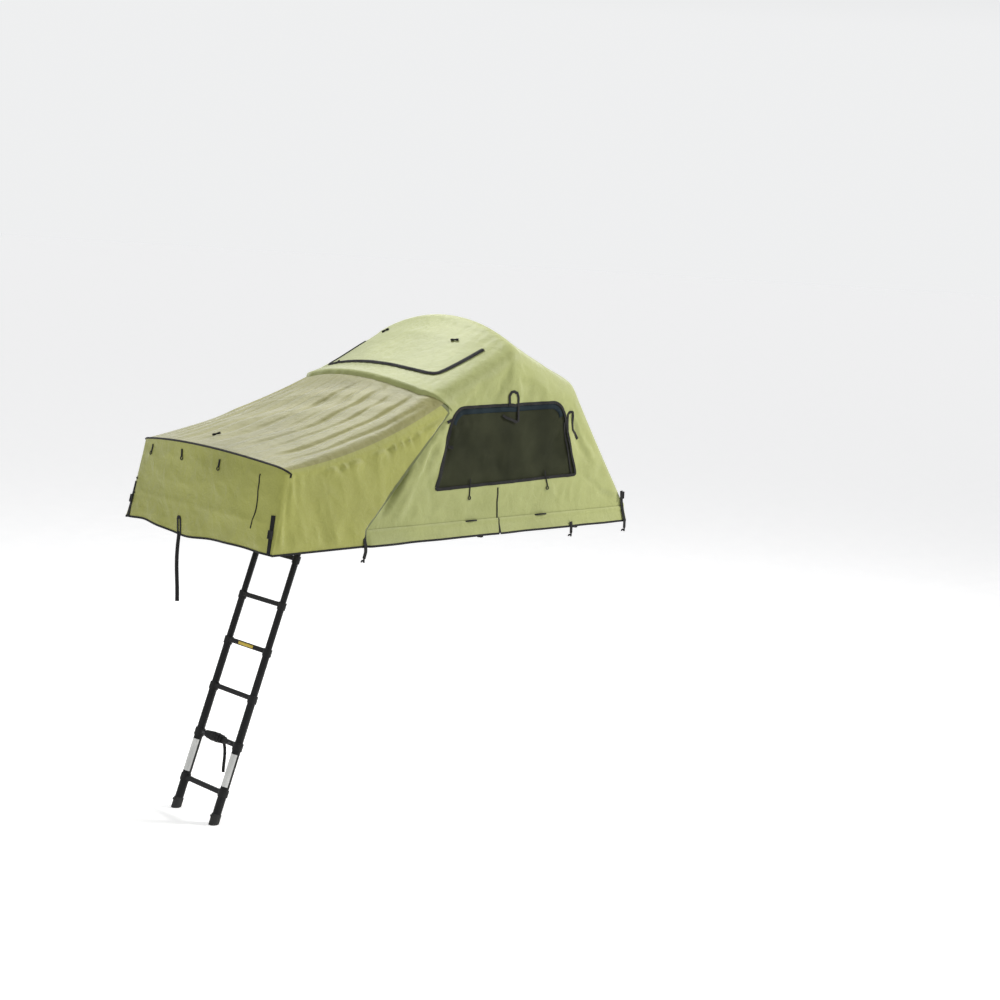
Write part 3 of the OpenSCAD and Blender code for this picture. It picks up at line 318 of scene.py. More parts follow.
def withWalls(row, near):
    near = np.array(near)
    return np.concatenate([near, row, near[::-1] * [1, -1, 1]])


def roundedLine(corners, radii, steps):
    corners = [np.array(c, float) for c in corners]
    out = []
    for i, (p, r) in enumerate(zip(corners, radii)):
        u, v = corners[i - 1] - p, corners[(i + 1) % len(corners)] - p
        u, v = u / np.linalg.norm(u), v / np.linalg.norm(v)
        half = math.acos(u @ v) / 2
        middle = p + (u + v) / np.linalg.norm(u + v) * r / math.sin(half)
        sweep = math.pi - 2 * half
        start = math.atan2(-v[0], v[1]) - sweep
        for k in range(steps + 1):
            a = start + sweep * k / steps
            out.append(middle + r * np.array([math.cos(a), math.sin(a)]))
    return np.array(out)


def runAlong(points):  # distance along a line at each of its points
    return np.concatenate([[0], np.cumsum(np.linalg.norm(np.diff(points, axis=0), axis=1))])


def evenly(points, gap, closed=False):  # points at an even distance along a line
    points = np.array(points, float)
    if closed:
        points = np.concatenate([points, points[:1]])
    run = runAlong(points)
    at = np.linspace(0, run[-1], max(2, int(round(run[-1] / gap)) + 1))
    return np.stack([np.interp(at, run, points[:, k]) for k in range(points.shape[1])], 1)


def gridNormals(grid, outward):
    along = np.gradient(grid, axis=0)
    across = np.gradient(grid, axis=1)
    n = np.cross(along, across)
    n /= np.maximum(np.linalg.norm(n, axis=2, keepdims=True), 1e-12)
    return n * outward


def makeSurface(grid, rows, outward, lift=None):
    if lift is not None:
        grid = grid + gridNormals(grid, outward) * lift[..., None]
    return {"grid": grid, "rows": np.array(rows), "normals": gridNormals(grid, outward), "outward": outward}


def rowIndex(surface, row):  # the grid row before a place, and how far past it the place lies
    i = float(np.interp(row, surface["rows"], np.arange(len(surface["rows"]))))
    i0 = min(int(i), len(surface["rows"]) - 2)
    return i0, i - i0


def onSurface(surface, row, column, lift=0.0):  # point and normal at a place on a cloth
    i0, s = rowIndex(surface, row)
    m = surface["grid"].shape[1]
    j = min(max(column, 0), m - 1)
    j0 = min(int(j), m - 2)
    t = j - j0

    def pick(g):
        return blend(blend(g[i0, j0], g[i0 + 1, j0], s), blend(g[i0, j0 + 1], g[i0 + 1, j0 + 1], s), t)

    normal = pick(surface["normals"])
    normal = normal / max(np.linalg.norm(normal), 1e-9)
    return pick(surface["grid"]) + normal * lift, normal


def linkObject(name, mesh):
    obj = bpy.data.objects.new(name, mesh)
    bpy.context.collection.objects.link(obj)
    return obj


def setActive(obj):
    bpy.ops.object.select_all(action="DESELECT")
    obj.select_set(True)
    bpy.context.view_layer.objects.active = obj


def newShape(add, **settings):
    bpy.ops.object.select_all(action="DESELECT")
    add(**settings)
    return bpy.context.object


def openMesh(obj):  # edit mode with everything selected
    setActive(obj)
    bpy.ops.object.mode_set(mode="EDIT")
    bpy.ops.mesh.select_all(action="SELECT")


def closeMesh():
    bpy.ops.object.mode_set(mode="OBJECT")


def faceOut(obj):
    openMesh(obj)
    bpy.ops.mesh.normals_make_consistent(inside=False)
    closeMesh()


def applyModifier(obj, kind, **settings):
    mod = obj.modifiers.new(kind.lower(), kind)
    for key, value in settings.items():
        setattr(mod, key, value)
    setActive(obj)
    bpy.ops.object.modifier_apply(modifier=mod.name)


def smooth(obj, angle=40):
    setActive(obj)
    bpy.ops.object.shade_smooth_by_angle(angle=math.radians(angle))


def meshFrom(name, verts, faces, uvs, material):
    mesh = bpy.data.meshes.new(name)
    mesh.from_pydata([tuple(v) for v in np.asarray(verts) + origin], [], faces)
    layer = mesh.uv_layers.new(name="cloth")
    index = np.zeros(len(mesh.loops), np.int64)
    mesh.loops.foreach_get("vertex_index", index)
    layer.data.foreach_set("uv", np.asarray(uvs, np.float32)[index].ravel())
    mesh.materials.append(material)
    mesh.validate()
    return mesh


# row and column of a face's corners, for cloth whose grid faces out, faces in, and for the vestibule
quadCorners = {
    "out": ((0, 0), (1, 0), (1, 1), (0, 1)),
    "in": ((0, 1), (1, 1), (1, 0), (0, 0)),
    "porch": ((0, 0), (0, 1), (1, 1), (1, 0)),
}


def gridObject(name, grid, order, material):
    n, m = grid.shape[:2]
    start = (np.arange(n - 1)[:, None] * m + np.arange(m - 1)).ravel()
    quads = start[:, None] + np.array(quadCorners[order]) @ (m, 1)
    uvs = []
    for axis in (1, 0):  # measured along the cloth
        steps = np.linalg.norm(np.diff(grid, axis=axis), axis=2)
        uvs.append(np.insert(np.cumsum(steps, axis=axis), 0, 0, axis=axis).ravel())
    return linkObject(name, meshFrom(name, grid.reshape(-1, 3), quads.tolist(), np.stack(uvs, 1), material))


def clothPiece(name, surface, material, first=None, last=None, thick=0.0022):
    grid, rows = surface["grid"], surface["rows"]
    if first is not None:
        grid = grid[(rows >= first - 1e-9) & (rows <= last + 1e-9)]
    obj = gridObject(name, grid, "out" if surface["outward"] > 0 else "in", material)
    applyModifier(obj, "SOLIDIFY", thickness=thick, offset=-1.0)
    smooth(obj, 60)
    return obj


def ribbonParts(points, normals, width, thick, lift=0.0):
    points, normals = np.asarray(points, float), np.asarray(normals, float)
    if normals.ndim == 1:
        normals = np.tile(normals, (len(points), 1))
    ahead = np.gradient(points, axis=0)
    side = np.cross(ahead, normals)
    side /= np.maximum(np.linalg.norm(side, axis=1, keepdims=True), 1e-9)
    low, high = points + normals * lift, points + normals * (lift + thick)
    ring = [low - side * width / 2, low + side * width / 2, high + side * width * 0.46, high - side * width * 0.46]
    verts = np.stack(ring, 1).reshape(-1, 3)
    faces = []
    for i in range(len(points) - 1):
        for k in range(4):
            faces.append((4 * i + k, 4 * i + (k + 1) % 4, 4 * i + 4 + (k + 1) % 4, 4 * i + 4 + k))
    faces += [(3, 2, 1, 0), tuple(4 * (len(points) - 1) + k for k in range(4))]
    run = runAlong(points)
    uvs = np.stack([np.stack([0 * run + c, run], 1) for c in (0, width, width, 0)], 1).reshape(-1, 2)
    return verts, faces, uvs


def ribbonOn(places, width, thick, lift):  # each place is a point and its normal
    return ribbonParts([p for p, n in places], [n for p, n in places], width, thick, lift)


def joinParts(name, parts, material):
    verts, faces, uvs, count = [], [], [], 0
    for v, f, t in parts:
        verts.append(v)
        uvs.append(t)
        faces += [tuple(k + count for k in face) for face in f]
        count += len(v)
    obj = linkObject(name, meshFrom(name, np.concatenate(verts), faces, np.concatenate(uvs), material))
    faceOut(obj)
    smooth(obj, 50)
    return obj


def copyModel(model, name, places, material):  # each place is a matrix from the model to the tent
    made = bmesh.new()
    for place in places:
        part = model.data.copy()
        part.transform(place)
        made.from_mesh(part)
        bpy.data.meshes.remove(part)
    mesh = bpy.data.meshes.new(name)
    made.to_mesh(mesh)
    made.free()
    mesh.transform(Matrix.Translation(origin))
    mesh.materials.clear()
    mesh.materials.append(material)
    obj = linkObject(name, mesh)
    smooth(obj, 40)
    return obj


def facing(point, normal, down):  # a frame with Z out of the cloth and Y up along it
    z = Vector(normal).normalized()
    y = -Vector(down)
    y = (y - z * y.dot(z)).normalized()
    x = y.cross(z)
    turn = Matrix((x, y, z)).transposed().to_4x4()
    return Matrix.Translation(Vector(point)) @ turn


# body, then the axis, place and kept share of the squash as the base folds
ridesOn = {
    "rear": ("fixed_base", (0, 0, 1), (0, 0, 0.1195), 0.008),
    "front": ("foldout_base", (0, 0, 1), (0, 0, 0.0575), 0.004),
    "porchIn": ("foldout_base", (0, 0, 1), (0, 0, 0.0605), 0.003),
    "skirtOut": ("foldout_base", (0, 0, 1), (0, 0, 0.004), 0.03),
}
porchAlong, porchUp = hoopTurn("porch")
ridesOn["porchOut"] = ("vestibule_hoop_body", (porchUp, 0, -porchAlong),
                       (hoopSet["porch"][0], 0, hoopSet["porch"][1]), 0.010)


def attach(obj, way, slotName, *nodes):
    body = way
    if way in ridesOn:
        body, axis, anchor, keep = ridesOn[way]
        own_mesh(obj)
    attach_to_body(obj, body)
    if nodes:
        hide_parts(*nodes)
    return obj


def sewTape(name, parts, way, *nodes):
    return attach(joinParts(name, parts, finish["tape"]), way, "webbing", *nodes)


def placeHard(model, name, places, way):
    return attach(copyModel(model, name, places, finish["plastic"]), way, "black_plastic")


# the strap tail that hangs from the vestibule's hem
tailSet = {"y": 0.163, "out": 0.0019, "width": 0.025, "thick": 0.0026, "twist": (0.4, 0.7),
           "route": ((0, 0, 0), (-1, 0, -14), (-4, 0, -40), (-7, 1, -80), (-9, 2, -125), (-9, 3, -170),
                     (-8, 3, -215), (-6, 2, -260), (-4, 0, -305), (-3, -3, -350), (-3, -6, -395), (-4, -9, -430))}


def makeTail(s):
    start = np.array([tent["hemX"] - s["out"], s["y"], tent["hemZ"]])
    route = evenly(start + np.array(s["route"], float) / 1000, 0.012)
    turn = np.linspace(*s["twist"], len(route))
    normals = np.stack([-np.cos(turn), -np.sin(turn), 0 * turn], 1)
    ribbon = ribbonParts(route, normals, s["width"], s["thick"], -s["thick"] / 2)
    strap = sewTape("endStrapTail", [ribbon], "porchOut", "end_strap_tail")


makeTail(tailSet)
print("strap tail made")

# main canopy over three hoops
canopySet = {
    "sag": (0.004, 0.014, 0.012, 0.0), "thick": 0.0022, "softHoop": 3,
    "window": ((-0.554, 0.208), (0.716, 0.240), (0.560, 0.732), (-0.408, 0.711)),
    "windowRadii": (0.012, 0.012, 0.125, 0.125),
    "door": ((-0.420, 0.070), (0.420, 0.070), (0.420, 0.560), (-0.420, 0.560)),
    "doorRadii": (0.040, 0.040, 0.170, 0.170),
    # heights of the folds in the walls and in the roof
    "swell": 0.011, "crease": 0.0080, "fineCrease": 0.0036, "seamPull": 0.006,
    "roofSwell": 0.005, "roofCrease": 0.0022, "roofRuck": 0.0024,
    "fans": ((1, 0.34, 0.007, 15), (2, 0.30, 0.008, 17), (3, 0.40, 0.010, 13)),  # hoop, reach, height, count
    "legGuard": 0.0015, "plateGuard": 0.0030, "crestGuard": 0.0055,  # least lift over what stands behind
}


def canopyRow(k):
    n, wallY = cells["wall"], tent["wallY"]
    if k in (0, 4):
        line = archLine(tent["canopyY"], tent["hoopCorner"], hoopSet["rear"][4])
        y = line[:, 0] * wallY / tent["canopyY"]
        r = tent["bend"] if k == 0 else 1e-6
        d = np.clip(wallY - abs(y), 0, r)
        x = (tent["endX"] if k == 0 else tent["frontX"]) - (r - np.sqrt(np.maximum(0, r * r - (r - d) ** 2)))
        row = np.stack([x, y, 0 * y + tent["endLip"]], 1)
    else:
        row = hoopLine(("rear", "ridge", "front")[k - 1], tent["canopyY"], tent["hoopCorner"])
    foot = np.array([row[0][0], -wallY, -tent["wallDrop"]])
    return withWalls(row, [blend(foot, row[0], i / n) for i in range(n)])


canopyRows = [canopyRow(k) for k in range(5)]
wallX = [row[0][0] for row in canopyRows]
wallTop = [row[cells["wall"]][2] for row in canopyRows]
splitRow = round(2 + (wallX[2] - tent["splitX"]) / (wallX[2] - wallX[3]), 6)


def roofWeight(count, wall):
    return np.sin(math.pi * np.clip((np.arange(count) - wall) / (roofCount - 1), 0, 1))


# start, end, half width at each, and height of the main folds in a side wall
wallFolds = (
    ((0.105, 0.950), (0.100, 0.760), 0.012, 0.014, 0.009), ((0.085, 0.960), (-0.090, 0.740), 0.018, 0.038, -0.015),
    ((0.128, 0.950), (0.270, 0.760), 0.018, 0.038, -0.015), ((0.118, 0.940), (0.190, 0.750), 0.012, 0.022, 0.007),
    ((0.075, 0.950), (-0.010, 0.750), 0.012, 0.022, 0.007), ((0.150, 0.960), (0.420, 0.800), 0.014, 0.030, 0.007),
    ((-0.600, 0.620), (-1.010, 0.060), 0.018, 0.034, -0.044), ((-0.540, 0.580), (-0.880, 0.060), 0.016, 0.034, 0.014),
    ((-0.510, 0.700), (-0.620, 0.420), 0.016, 0.030, -0.008), ((-0.470, 0.720), (-0.420, 0.580), 0.012, 0.024, 0.006),
    ((-0.640, 0.300), (-0.560, 0.060), 0.014, 0.030, -0.006), ((0.640, 0.640), (0.800, 0.340), 0.016, 0.036, -0.008),
    ((0.690, 0.620), (0.930, 0.280), 0.014, 0.032, 0.007), ((0.790, 0.220), (1.090, 0.050), 0.016, 0.030, -0.007),
    ((0.120, 0.175), (0.360, 0.030), 0.014, 0.028, -0.006), ((-0.480, 0.160), (-0.180, 0.040), 0.014, 0.028, -0.005),
    ((-0.030, 0.190), (-0.060, 0.020), 0.010, 0.018, 0.006), ((0.430, 0.200), (0.600, 0.050), 0.014, 0.026, 0.005),
)


def lineFold(x, z, fold):
    (x0, z0), (x1, z1), wide0, wide1, high = fold
    length = math.hypot(x1 - x0, z1 - z0)
    dx, dz = (x1 - x0) / length, (z1 - z0) / length
    t = ((x - x0) * dx + (z - z0) * dz) / length
    off = (x - x0) * dz - (z - z0) * dx + 0.012 * cloud(t * 3.0, 0 * t, x0 * 40)
    wide = blend(wide0, wide1, np.clip(t, 0, 1))
    return high * np.exp(-(off / wide) ** 2) * easeIn((t + 0.12) / 0.3) * easeIn((1.12 - t) / 0.3)


def canopyFolds(grid, us, s):
    m = grid.shape[1]
    x, y, z = grid[..., 0], grid[..., 1], grid[..., 2]
    column = np.arange(m)[None, :] + 0 * x
    side = np.where(y < 0, 0.0, 5.0)
    wall = 1 - easeIn((np.minimum(column, m - 1 - column) - cells["wall"] + 4) / 10)
    tied = easeIn((z + 0.014) / 0.10)  # the edge along the frame is held
    lift = s["swell"] * cloud(x * 2.3 + side, z * 2.6, 3)
    lift += s["crease"] * crease(x * 5.0 + 0.7 * z, z * 4.2 + side, 9)
    lift += s["fineCrease"] * crease(x * 13.0 - 2 * z, z * 8.0 + side, 21)
    for k, reach, deep, count in s["fans"]:
        cx, cz = wallX[k], wallTop[k] + 0.07
        r = np.hypot(x - cx, z - cz)
        turn = np.arctan2(x - cx, cz - z)
        swing = turn * count + 1.7 * cloud(turn * 3.0 + k, r * 2.0, 31) + side
        lift += deep * np.exp(-r / reach) * easeIn((r - 0.03) / 0.10) * np.sin(swing) * np.exp(-(turn / 0.85) ** 2)
    slope = (wallX[3] - tent["frontX"]) / wallTop[3]
    off = (x - (tent["frontX"] + slope * z)) / math.hypot(1, slope)  # distance from the vestibule's seam
    pull = np.exp(-np.clip(off, 0, 9) / 0.16) * np.where(off > -0.02, 1, 0)
    lift += s["seamPull"] * pull * np.sin(off * 62 + 2.2 * cloud(z * 4, x * 2 + side, 12))
    for fold in wallFolds:
        lift += lineFold(x, z, fold)
    for name in ("rear", "ridge", "front"):  # no dents where a hoop's leg stands behind the wall
        px, pz, leg = hoopSet[name][:3]
        c, d = hoopTurn(name)
        along = np.clip((x - px) * c + (z - pz) * d, 0, leg + 0.15)
        guard = np.exp(-(np.hypot(x - px - along * c, z - pz - along * d) / 0.055) ** 4)
        lift += guard * np.maximum(0, s["legGuard"] - lift)
    plate = np.exp(-np.hypot((x - 0.05) / 0.17, (z - 0.10) / 0.15) ** 4)  # nor over the hinge plates
    lift += plate * np.maximum(0, s["plateGuard"] - lift)
    walls = lift * wall * tied
    v = np.clip((column - cells["wall"]) / (roofCount - 1), 0, 1)
    roof = s["roofSwell"] * cloud(x * 2.1 + 9, y * 2.4, 5) + s["roofCrease"] * crease(x * 5.5, y * 3.8, 17)
    for k in (1, 2, 3):
        apart = abs(us[:, None] - k + 0 * x) * 0.55
        roof += s["roofRuck"] * np.exp(-apart / 0.06) * np.sin(y * 95 + 3 * cloud(y * 5, x, 40 + k))
    roof *= easeIn(v / 0.06) * easeIn((1 - v) / 0.06)
    for k in (1, 2, 3):
        crest = np.exp(-(abs(us[:, None] - k + 0 * x) * 0.55 / 0.045) ** 4)
        roof += crest * np.maximum(0, s["crestGuard"] - roof)
        high = crest * (1 - easeIn((wallTop[k] - z) / 0.20)) * wall
        walls += high * np.maximum(0, s["crestGuard"] - walls)
    held = easeIn((us[:, None] + 0 * x) / 0.10)
    return held * (walls + np.where(us[:, None] > 3.0, 0.3, 1.0) * roof * (1 - wall))


def canopySurface(s):
    span = np.linspace(0, 1, cells["span"] + 1)[:-1]
    us = np.concatenate([k + span for k in range(4)] + [[4.0, splitRow]])
    us = np.unique(np.round(us, 6))
    weight = roofWeight(len(canopyRows[0]), cells["wall"])
    grid = []
    for u in us:
        k = min(3, int(u))
        t = u - k
        row = blend(canopyRows[k], canopyRows[k + 1], t)
        row[:, 2] -= s["sag"][k] * 4 * t * (1 - t) * weight
        grid.append(row)
    grid = np.array(grid)
    for _ in range(s["softHoop"]):  # the cloth rounds over each tube
        grid[1:-1] = 0.5 * grid[1:-1] + 0.25 * (grid[:-2] + grid[2:])
    return makeSurface(grid, us, -1.0, canopyFolds(grid, us, s))


def prism(name, outline, axis, low, high):
    outline = np.asarray(outline, float)
    n = len(outline)
    ends = []
    for at in (low, high):
        flat = 0 * outline[:, 0] + at
        ends.append(np.stack([outline[:, 0], flat, outline[:, 1]] if axis == "y" else
                             [flat, outline[:, 0], outline[:, 1]], 1))
    faces = [tuple(range(n))[::-1], tuple(range(n, 2 * n))]
    faces += [(i, (i + 1) % n, n + (i + 1) % n, n + i) for i in range(n)]
    verts = np.concatenate(ends)
    obj = linkObject(name, meshFrom(name, verts, faces, verts[:, :2], finish["tape"]))
    faceOut(obj)
    return obj


def cutAway(obj, cutter):
    applyModifier(obj, "BOOLEAN", operation="DIFFERENCE", solver="EXACT", object=cutter)


canopy = canopySurface(canopySet)
windowLine = roundedLine(canopySet["window"], canopySet["windowRadii"], 10)
doorLine = roundedLine(canopySet["door"], canopySet["doorRadii"], 10)


def makeCanopy(s):
    rear = clothPiece("canopyRear", canopy, finish["canopy"], 0, splitRow, s["thick"])
    front = clothPiece("canopyFront", canopy, finish["canopy"], splitRow, 4, s["thick"])
    for name, low, high in (("nearCut", -0.9, -0.5), ("farCut", 0.5, 0.9)):
        cutter = prism(name, windowLine, "y", low, high)
        for piece in (rear, front):
            cutAway(piece, cutter)
        bpy.data.objects.remove(cutter)
    cutter = prism("doorCut", doorLine, "x", -1.3, -0.30)
    cutAway(front, cutter)
    bpy.data.objects.remove(cutter)
    for piece in (rear, front):
        smooth(piece, 60)
    attach(rear, "rear", "canopy_fabric", "main_canopy")
    attach(front, "front", "canopy_fabric", "main_canopy")
    return rear, front


canopyRear, canopyFront = makeCanopy(canopySet)
print("canopy made:", len(canopyRear.data.polygons), len(canopyFront.data.polygons))


def wallPlace(x, z):  # row and column of a place on the near wall
    k = next(i for i in range(4) if x >= wallX[i + 1] - 1e-9)
    t = (wallX[k] - x) / (wallX[k] - wallX[k + 1])
    top = blend(wallTop[k], wallTop[k + 1], t)
    return k + t, cells["wall"] * (z + tent["wallDrop"]) / (top + tent["wallDrop"])


def onWall(x, z, lift=0.0, far=False):
    row, column = wallPlace(x, z)
    if far:
        column = canopy["grid"].shape[1] - 1 - column
    return onSurface(canopy, row, column, lift)


def wallRibbon(line, width, thick, lift, far):
    return ribbonOn([onWall(x, z, 0.0, far) for x, z in line], width, thick, lift)


def withSplit(points):  # adds the points where a line crosses the split between the halves
    out = [points[0]]
    for a, b in zip(points[:-1], points[1:]):
        if a[0] * b[0] < 0:
            out.append(blend(a, b, a[0] / (a[0] - b[0])))
        out.append(b)
    return np.array(out)


def runs(points, test):  # the stretches of a line that pass a test
    found, run = [], []
    for p in points:
        if test(p):
            run.append(p)
        elif run:
            found.append(run)
            run = []
    return [r for r in found + [run] if len(r) > 1]


# nets, tapes and shades of the windows
windowSet = {
    "netIn": 0.004, "netBorder": 0.016, "netThick": 0.0012, "tape": (0.020, 0.0022, 0.0003), "bandIn": 0.026,
    "zipTape": (0.012, 0.003, -0.0040), "band": (0.034, 0.0016, -0.0034),  # width, thickness, height
    # corner of the window and distance from it, at both ends of a zip
    "zips": {"rear": ((1, (-0.044, 0.012)), (2, (0.026, -0.140))),
             "front": ((0, (0.024, 0.012)), (3, (-0.026, -0.132)))},
}


def netPiece(name, far, low, high, s):
    border = s["netBorder"]
    corners = np.array(canopySet["window"], float)
    grown = corners + border * np.array([(-1, -1), (1, -1), (1, 1), (-1, 1)])
    xs = np.linspace(max(low, grown[:, 0].min()), min(high, grown[:, 0].max()), 56)
    line = roundedLine(grown, [r + border for r in canopySet["windowRadii"]], 8)
    ts = np.linspace(0, 1, 40)
    grid = np.zeros((len(xs), len(ts), 3))
    for i, x in enumerate(xs):
        a, b = line, np.roll(line, -1, axis=0)
        hit = [(p[1] + (q[1] - p[1]) * (x - p[0]) / (q[0] - p[0])) for p, q in zip(a, b)
               if (p[0] - x) * (q[0] - x) <= 0 and abs(p[0] - q[0]) > 1e-9]
        lowZ, highZ = (min(hit), max(hit)) if hit else (line[:, 1].mean(),) * 2
        for j, t in enumerate(ts):
            z = blend(lowZ, highZ, t)
            grid[i, j] = onWall(x, z, -canopySet["thick"] - s["netIn"], far)[0]
    surface = makeSurface(grid, xs, -1.0 if far else 1.0)
    return clothPiece(name, surface, finish["net"], thick=s["netThick"])


def makeWindows(s):
    corners = [np.array(c) for c in canopySet["window"]]
    closed = withSplit(evenly(windowLine, 0.012, True))
    zips = {way: evenly([corners[k] + off for k, off in ends], 0.012) for way, ends in s["zips"].items()}
    inset = roundedLine(np.array(corners) + s["bandIn"] * np.array([(1, 1), (-1, 1), (-1, -1), (1, -1)]),
                        [max(0.004, r - s["bandIn"] * 0.6) for r in canopySet["windowRadii"]], 10)
    topBand = withSplit(evenly([p for p in inset if p[1] > 0.60], 0.012))
    for sideName, far in (("near", False), ("far", True)):
        nets = {"rear": netPiece(sideName + "NetRear", far, tent["splitX"], 2.0, s),
                "front": netPiece(sideName + "NetFront", far, -2.0, tent["splitX"], s)}
        for way, test in (("rear", lambda p: p[0] >= -1e-6), ("front", lambda p: p[0] <= 1e-6)):
            parts = [wallRibbon(r, *s["tape"], far) for r in runs(closed, test)]
            parts.append(wallRibbon(zips[way], *s["zipTape"], far))
            tape = sewTape(sideName + "WindowTape" + way.title(), parts, way)
            band = [wallRibbon(r, *s["band"], far) for r in runs(topBand, test)]
            shade = joinParts(sideName + "WindowShade" + way.title(), band, finish["shadeBand"])
            attach(shade, way, "mesh")
            net = attach(nets[way], way, "mesh", sideName + "_window_mesh")


makeWindows(windowSet)
print("windows made")

# vestibule: roof, side walls and end wall
porchSet = {
    "sag": 0.038, "thick": 0.0022, "step": 0.045, "splitX": -1.262, "fold": 0.007, "foldTurn": 23.0,
    "eaveSag": (0.066, 0.034),  # near eave, far eave
    # heights of the soft folds in the roof, the walls, the hem, the eaves and the end corners
    "roofSwell": 0.003, "roofCrease": 0.003, "wallSwell": 0.012, "wallCrease": 0.007, "wallFine": 0.003,
    "hemWave": 0.005, "eaveCrease": 0.017, "cornerWave": 0.006,
    "shadedSeamRows": 4,  # rows of darker cloth along the side walls' front seams: painted shade of the fold at the seam
    # place across at the front hoop and at the end hoop, half width and height of the lesser folds in the roof
    "folds": ((0.060, 0.075, 0.012, -0.010), (0.125, 0.150, 0.014, -0.013), (0.190, 0.245, 0.012, -0.009),
              (0.265, 0.335, 0.015, -0.016), (0.340, 0.405, 0.012, -0.009), (0.420, 0.500, 0.016, -0.016),
              (0.505, 0.570, 0.012, -0.009), (0.590, 0.670, 0.016, -0.014), (0.690, 0.755, 0.013, -0.009),
              (0.790, 0.840, 0.015, -0.012), (0.890, 0.915, 0.012, -0.008)),
}


def porchFolds(grid, ss, wall, p):
    m = grid.shape[1]
    x, y, z = grid[..., 0], grid[..., 1], grid[..., 2]
    column = np.arange(m)[None, :] + 0 * x
    s = ss[:, None] + 0 * x
    side = np.where(y < 0, 0.0, 7.0)
    v = np.clip((column - wall) / (roofCount - 1), 0, 1)
    roofShare = easeIn(v / 0.10) * easeIn((1 - v) / 0.10)
    part = 0.5 + y / (2 * tent["porchY"])
    bow = 0.030 * cloud(s * 2.4, part * 3.0, 4) + 0.012 * cloud(s * 6.0, part * 4.0, 6)
    lift = p["roofSwell"] * cloud(x * 3, y * 3, 8) + p["roofCrease"] * crease(x * 4, y * 11, 14)
    for at, to, half, high in p["folds"]:
        off = part + bow - blend(at, to, s ** 0.8)
        lift += (high * np.exp(-(off / (half * (0.7 + 0.6 * s))) ** 2)
                 * easeIn(s / 0.16) * easeIn((1.02 - s) / 0.26))
    roof = lift * roofShare
    low = np.minimum(column, m - 1 - column) / wall
    wallShare = easeIn(low / 0.18) * (1 - easeIn((low - 0.93) / 0.07))
    wave = p["wallSwell"] * cloud(x * 2.6 + side, z * 1.4, 18)
    wave += p["wallCrease"] * crease(x * 6 + 2 * z + side, z * 2.2, 25)
    wave += p["wallFine"] * crease(x * 15 + 5 * z + side, z * 7.0, 29)
    hem = 1 - easeIn((low - 0.12) / 0.3)
    wave += p["hemWave"] * np.sin(x * 46 + 3 * cloud(x * 3, z * 3 + side, 33)) * hem
    eave = np.exp(-((low - 0.95) / 0.11) ** 2) * easeIn((0.97 - s) / 0.25) * easeIn(s / 0.05)
    wave += p["eaveCrease"] * eave * crease(x * 13 + z * 9 + side, z * 4, 44)
    corner = np.exp(-((1 - s) / 0.10) ** 2)
    wave += p["cornerWave"] * corner * np.sin(x * 70 + z * 6 + side) * easeIn((1 - s) / 0.03)
    tied = easeIn(s / 0.04) * easeIn((1 - s) / 0.03)
    return (roof + wave * wallShare * (low < 1)) * tied


def porchSurface(p):
    a, b = cells["porchHem"], cells["porchWall"]
    first = hoopLine("front", tent["canopyY"], tent["hoopCorner"], tent["lap"])
    c, d = hoopTurn("front")
    v = np.arange(len(first)) / (len(first) - 1)
    drop = p["step"] * easeIn(v / 0.14) * easeIn((1 - v) / 0.14)  # the roof is sewn on below the hoop's edge
    first = first + drop[:, None] * np.array([-d, 0, c])
    hem = np.array([tent["frontX"] - 0.020, -tent["hemY"], tent["hemZ"]])
    sill = np.array([tent["frontX"], -tent["wallY"] - tent["lap"], 0.0])
    near = [blend(hem, sill, i / a) for i in range(a)] + [blend(sill, first[0], i / b) for i in range(b)]
    first = withWalls(first, near)
    last = hoopLine("porch", tent["porchY"], tent["porchCorner"])
    hem = np.array([tent["hemX"], -tent["hemY"], tent["hemZ"]])
    last = withWalls(last, [blend(hem, last[0], i / (a + b)) for i in range(a + b)])
    weight = roofWeight(len(first), a + b)
    column = np.arange(len(first))
    eave = np.minimum(1, np.minimum(column, len(first) - 1 - column) / (a + b)) ** 3 * (1 - weight)
    eaveSag = np.where(column < len(first) / 2, *p["eaveSag"])
    ss = np.linspace(0, 1, cells["porch"] + 1)
    grid = []
    for s in ss:
        row = blend(first, last, s)
        part = 0.5 + row[:, 1] / (2 * tent["porchY"])
        turn = np.degrees(np.arctan2(s, part + 0.02)) - 22
        fan = np.cos(2 * math.pi * turn / p["foldTurn"]) * np.minimum(1, np.hypot(s, part) / 0.2)
        row[:, 2] -= weight * (p["sag"] * 4 * s * (1 - s) - p["fold"] * math.sin(math.pi * s) * fan)
        row[:, 2] -= eave * eaveSag * 4 * s * (1 - s)
        grid.append(row)
    grid = np.array(grid)
    return makeSurface(grid, ss, -1.0, porchFolds(grid, ss, a + b, p))


# seat over the hoop, bulge, heights of the folds, and height, place and half width of the waves in the hem
endSet = {"seat": (0.0010, 0.0024), "bulge": 0.010, "swell": 0.009, "crease": 0.006, "fineCrease": 0.003,
          "packCrease": 0.005, "hemWave": 0.007,
          "dips": ((0.024, 0.12, 0.20), (-0.012, 0.56, 0.12), (-0.006, -0.40, 0.16))}


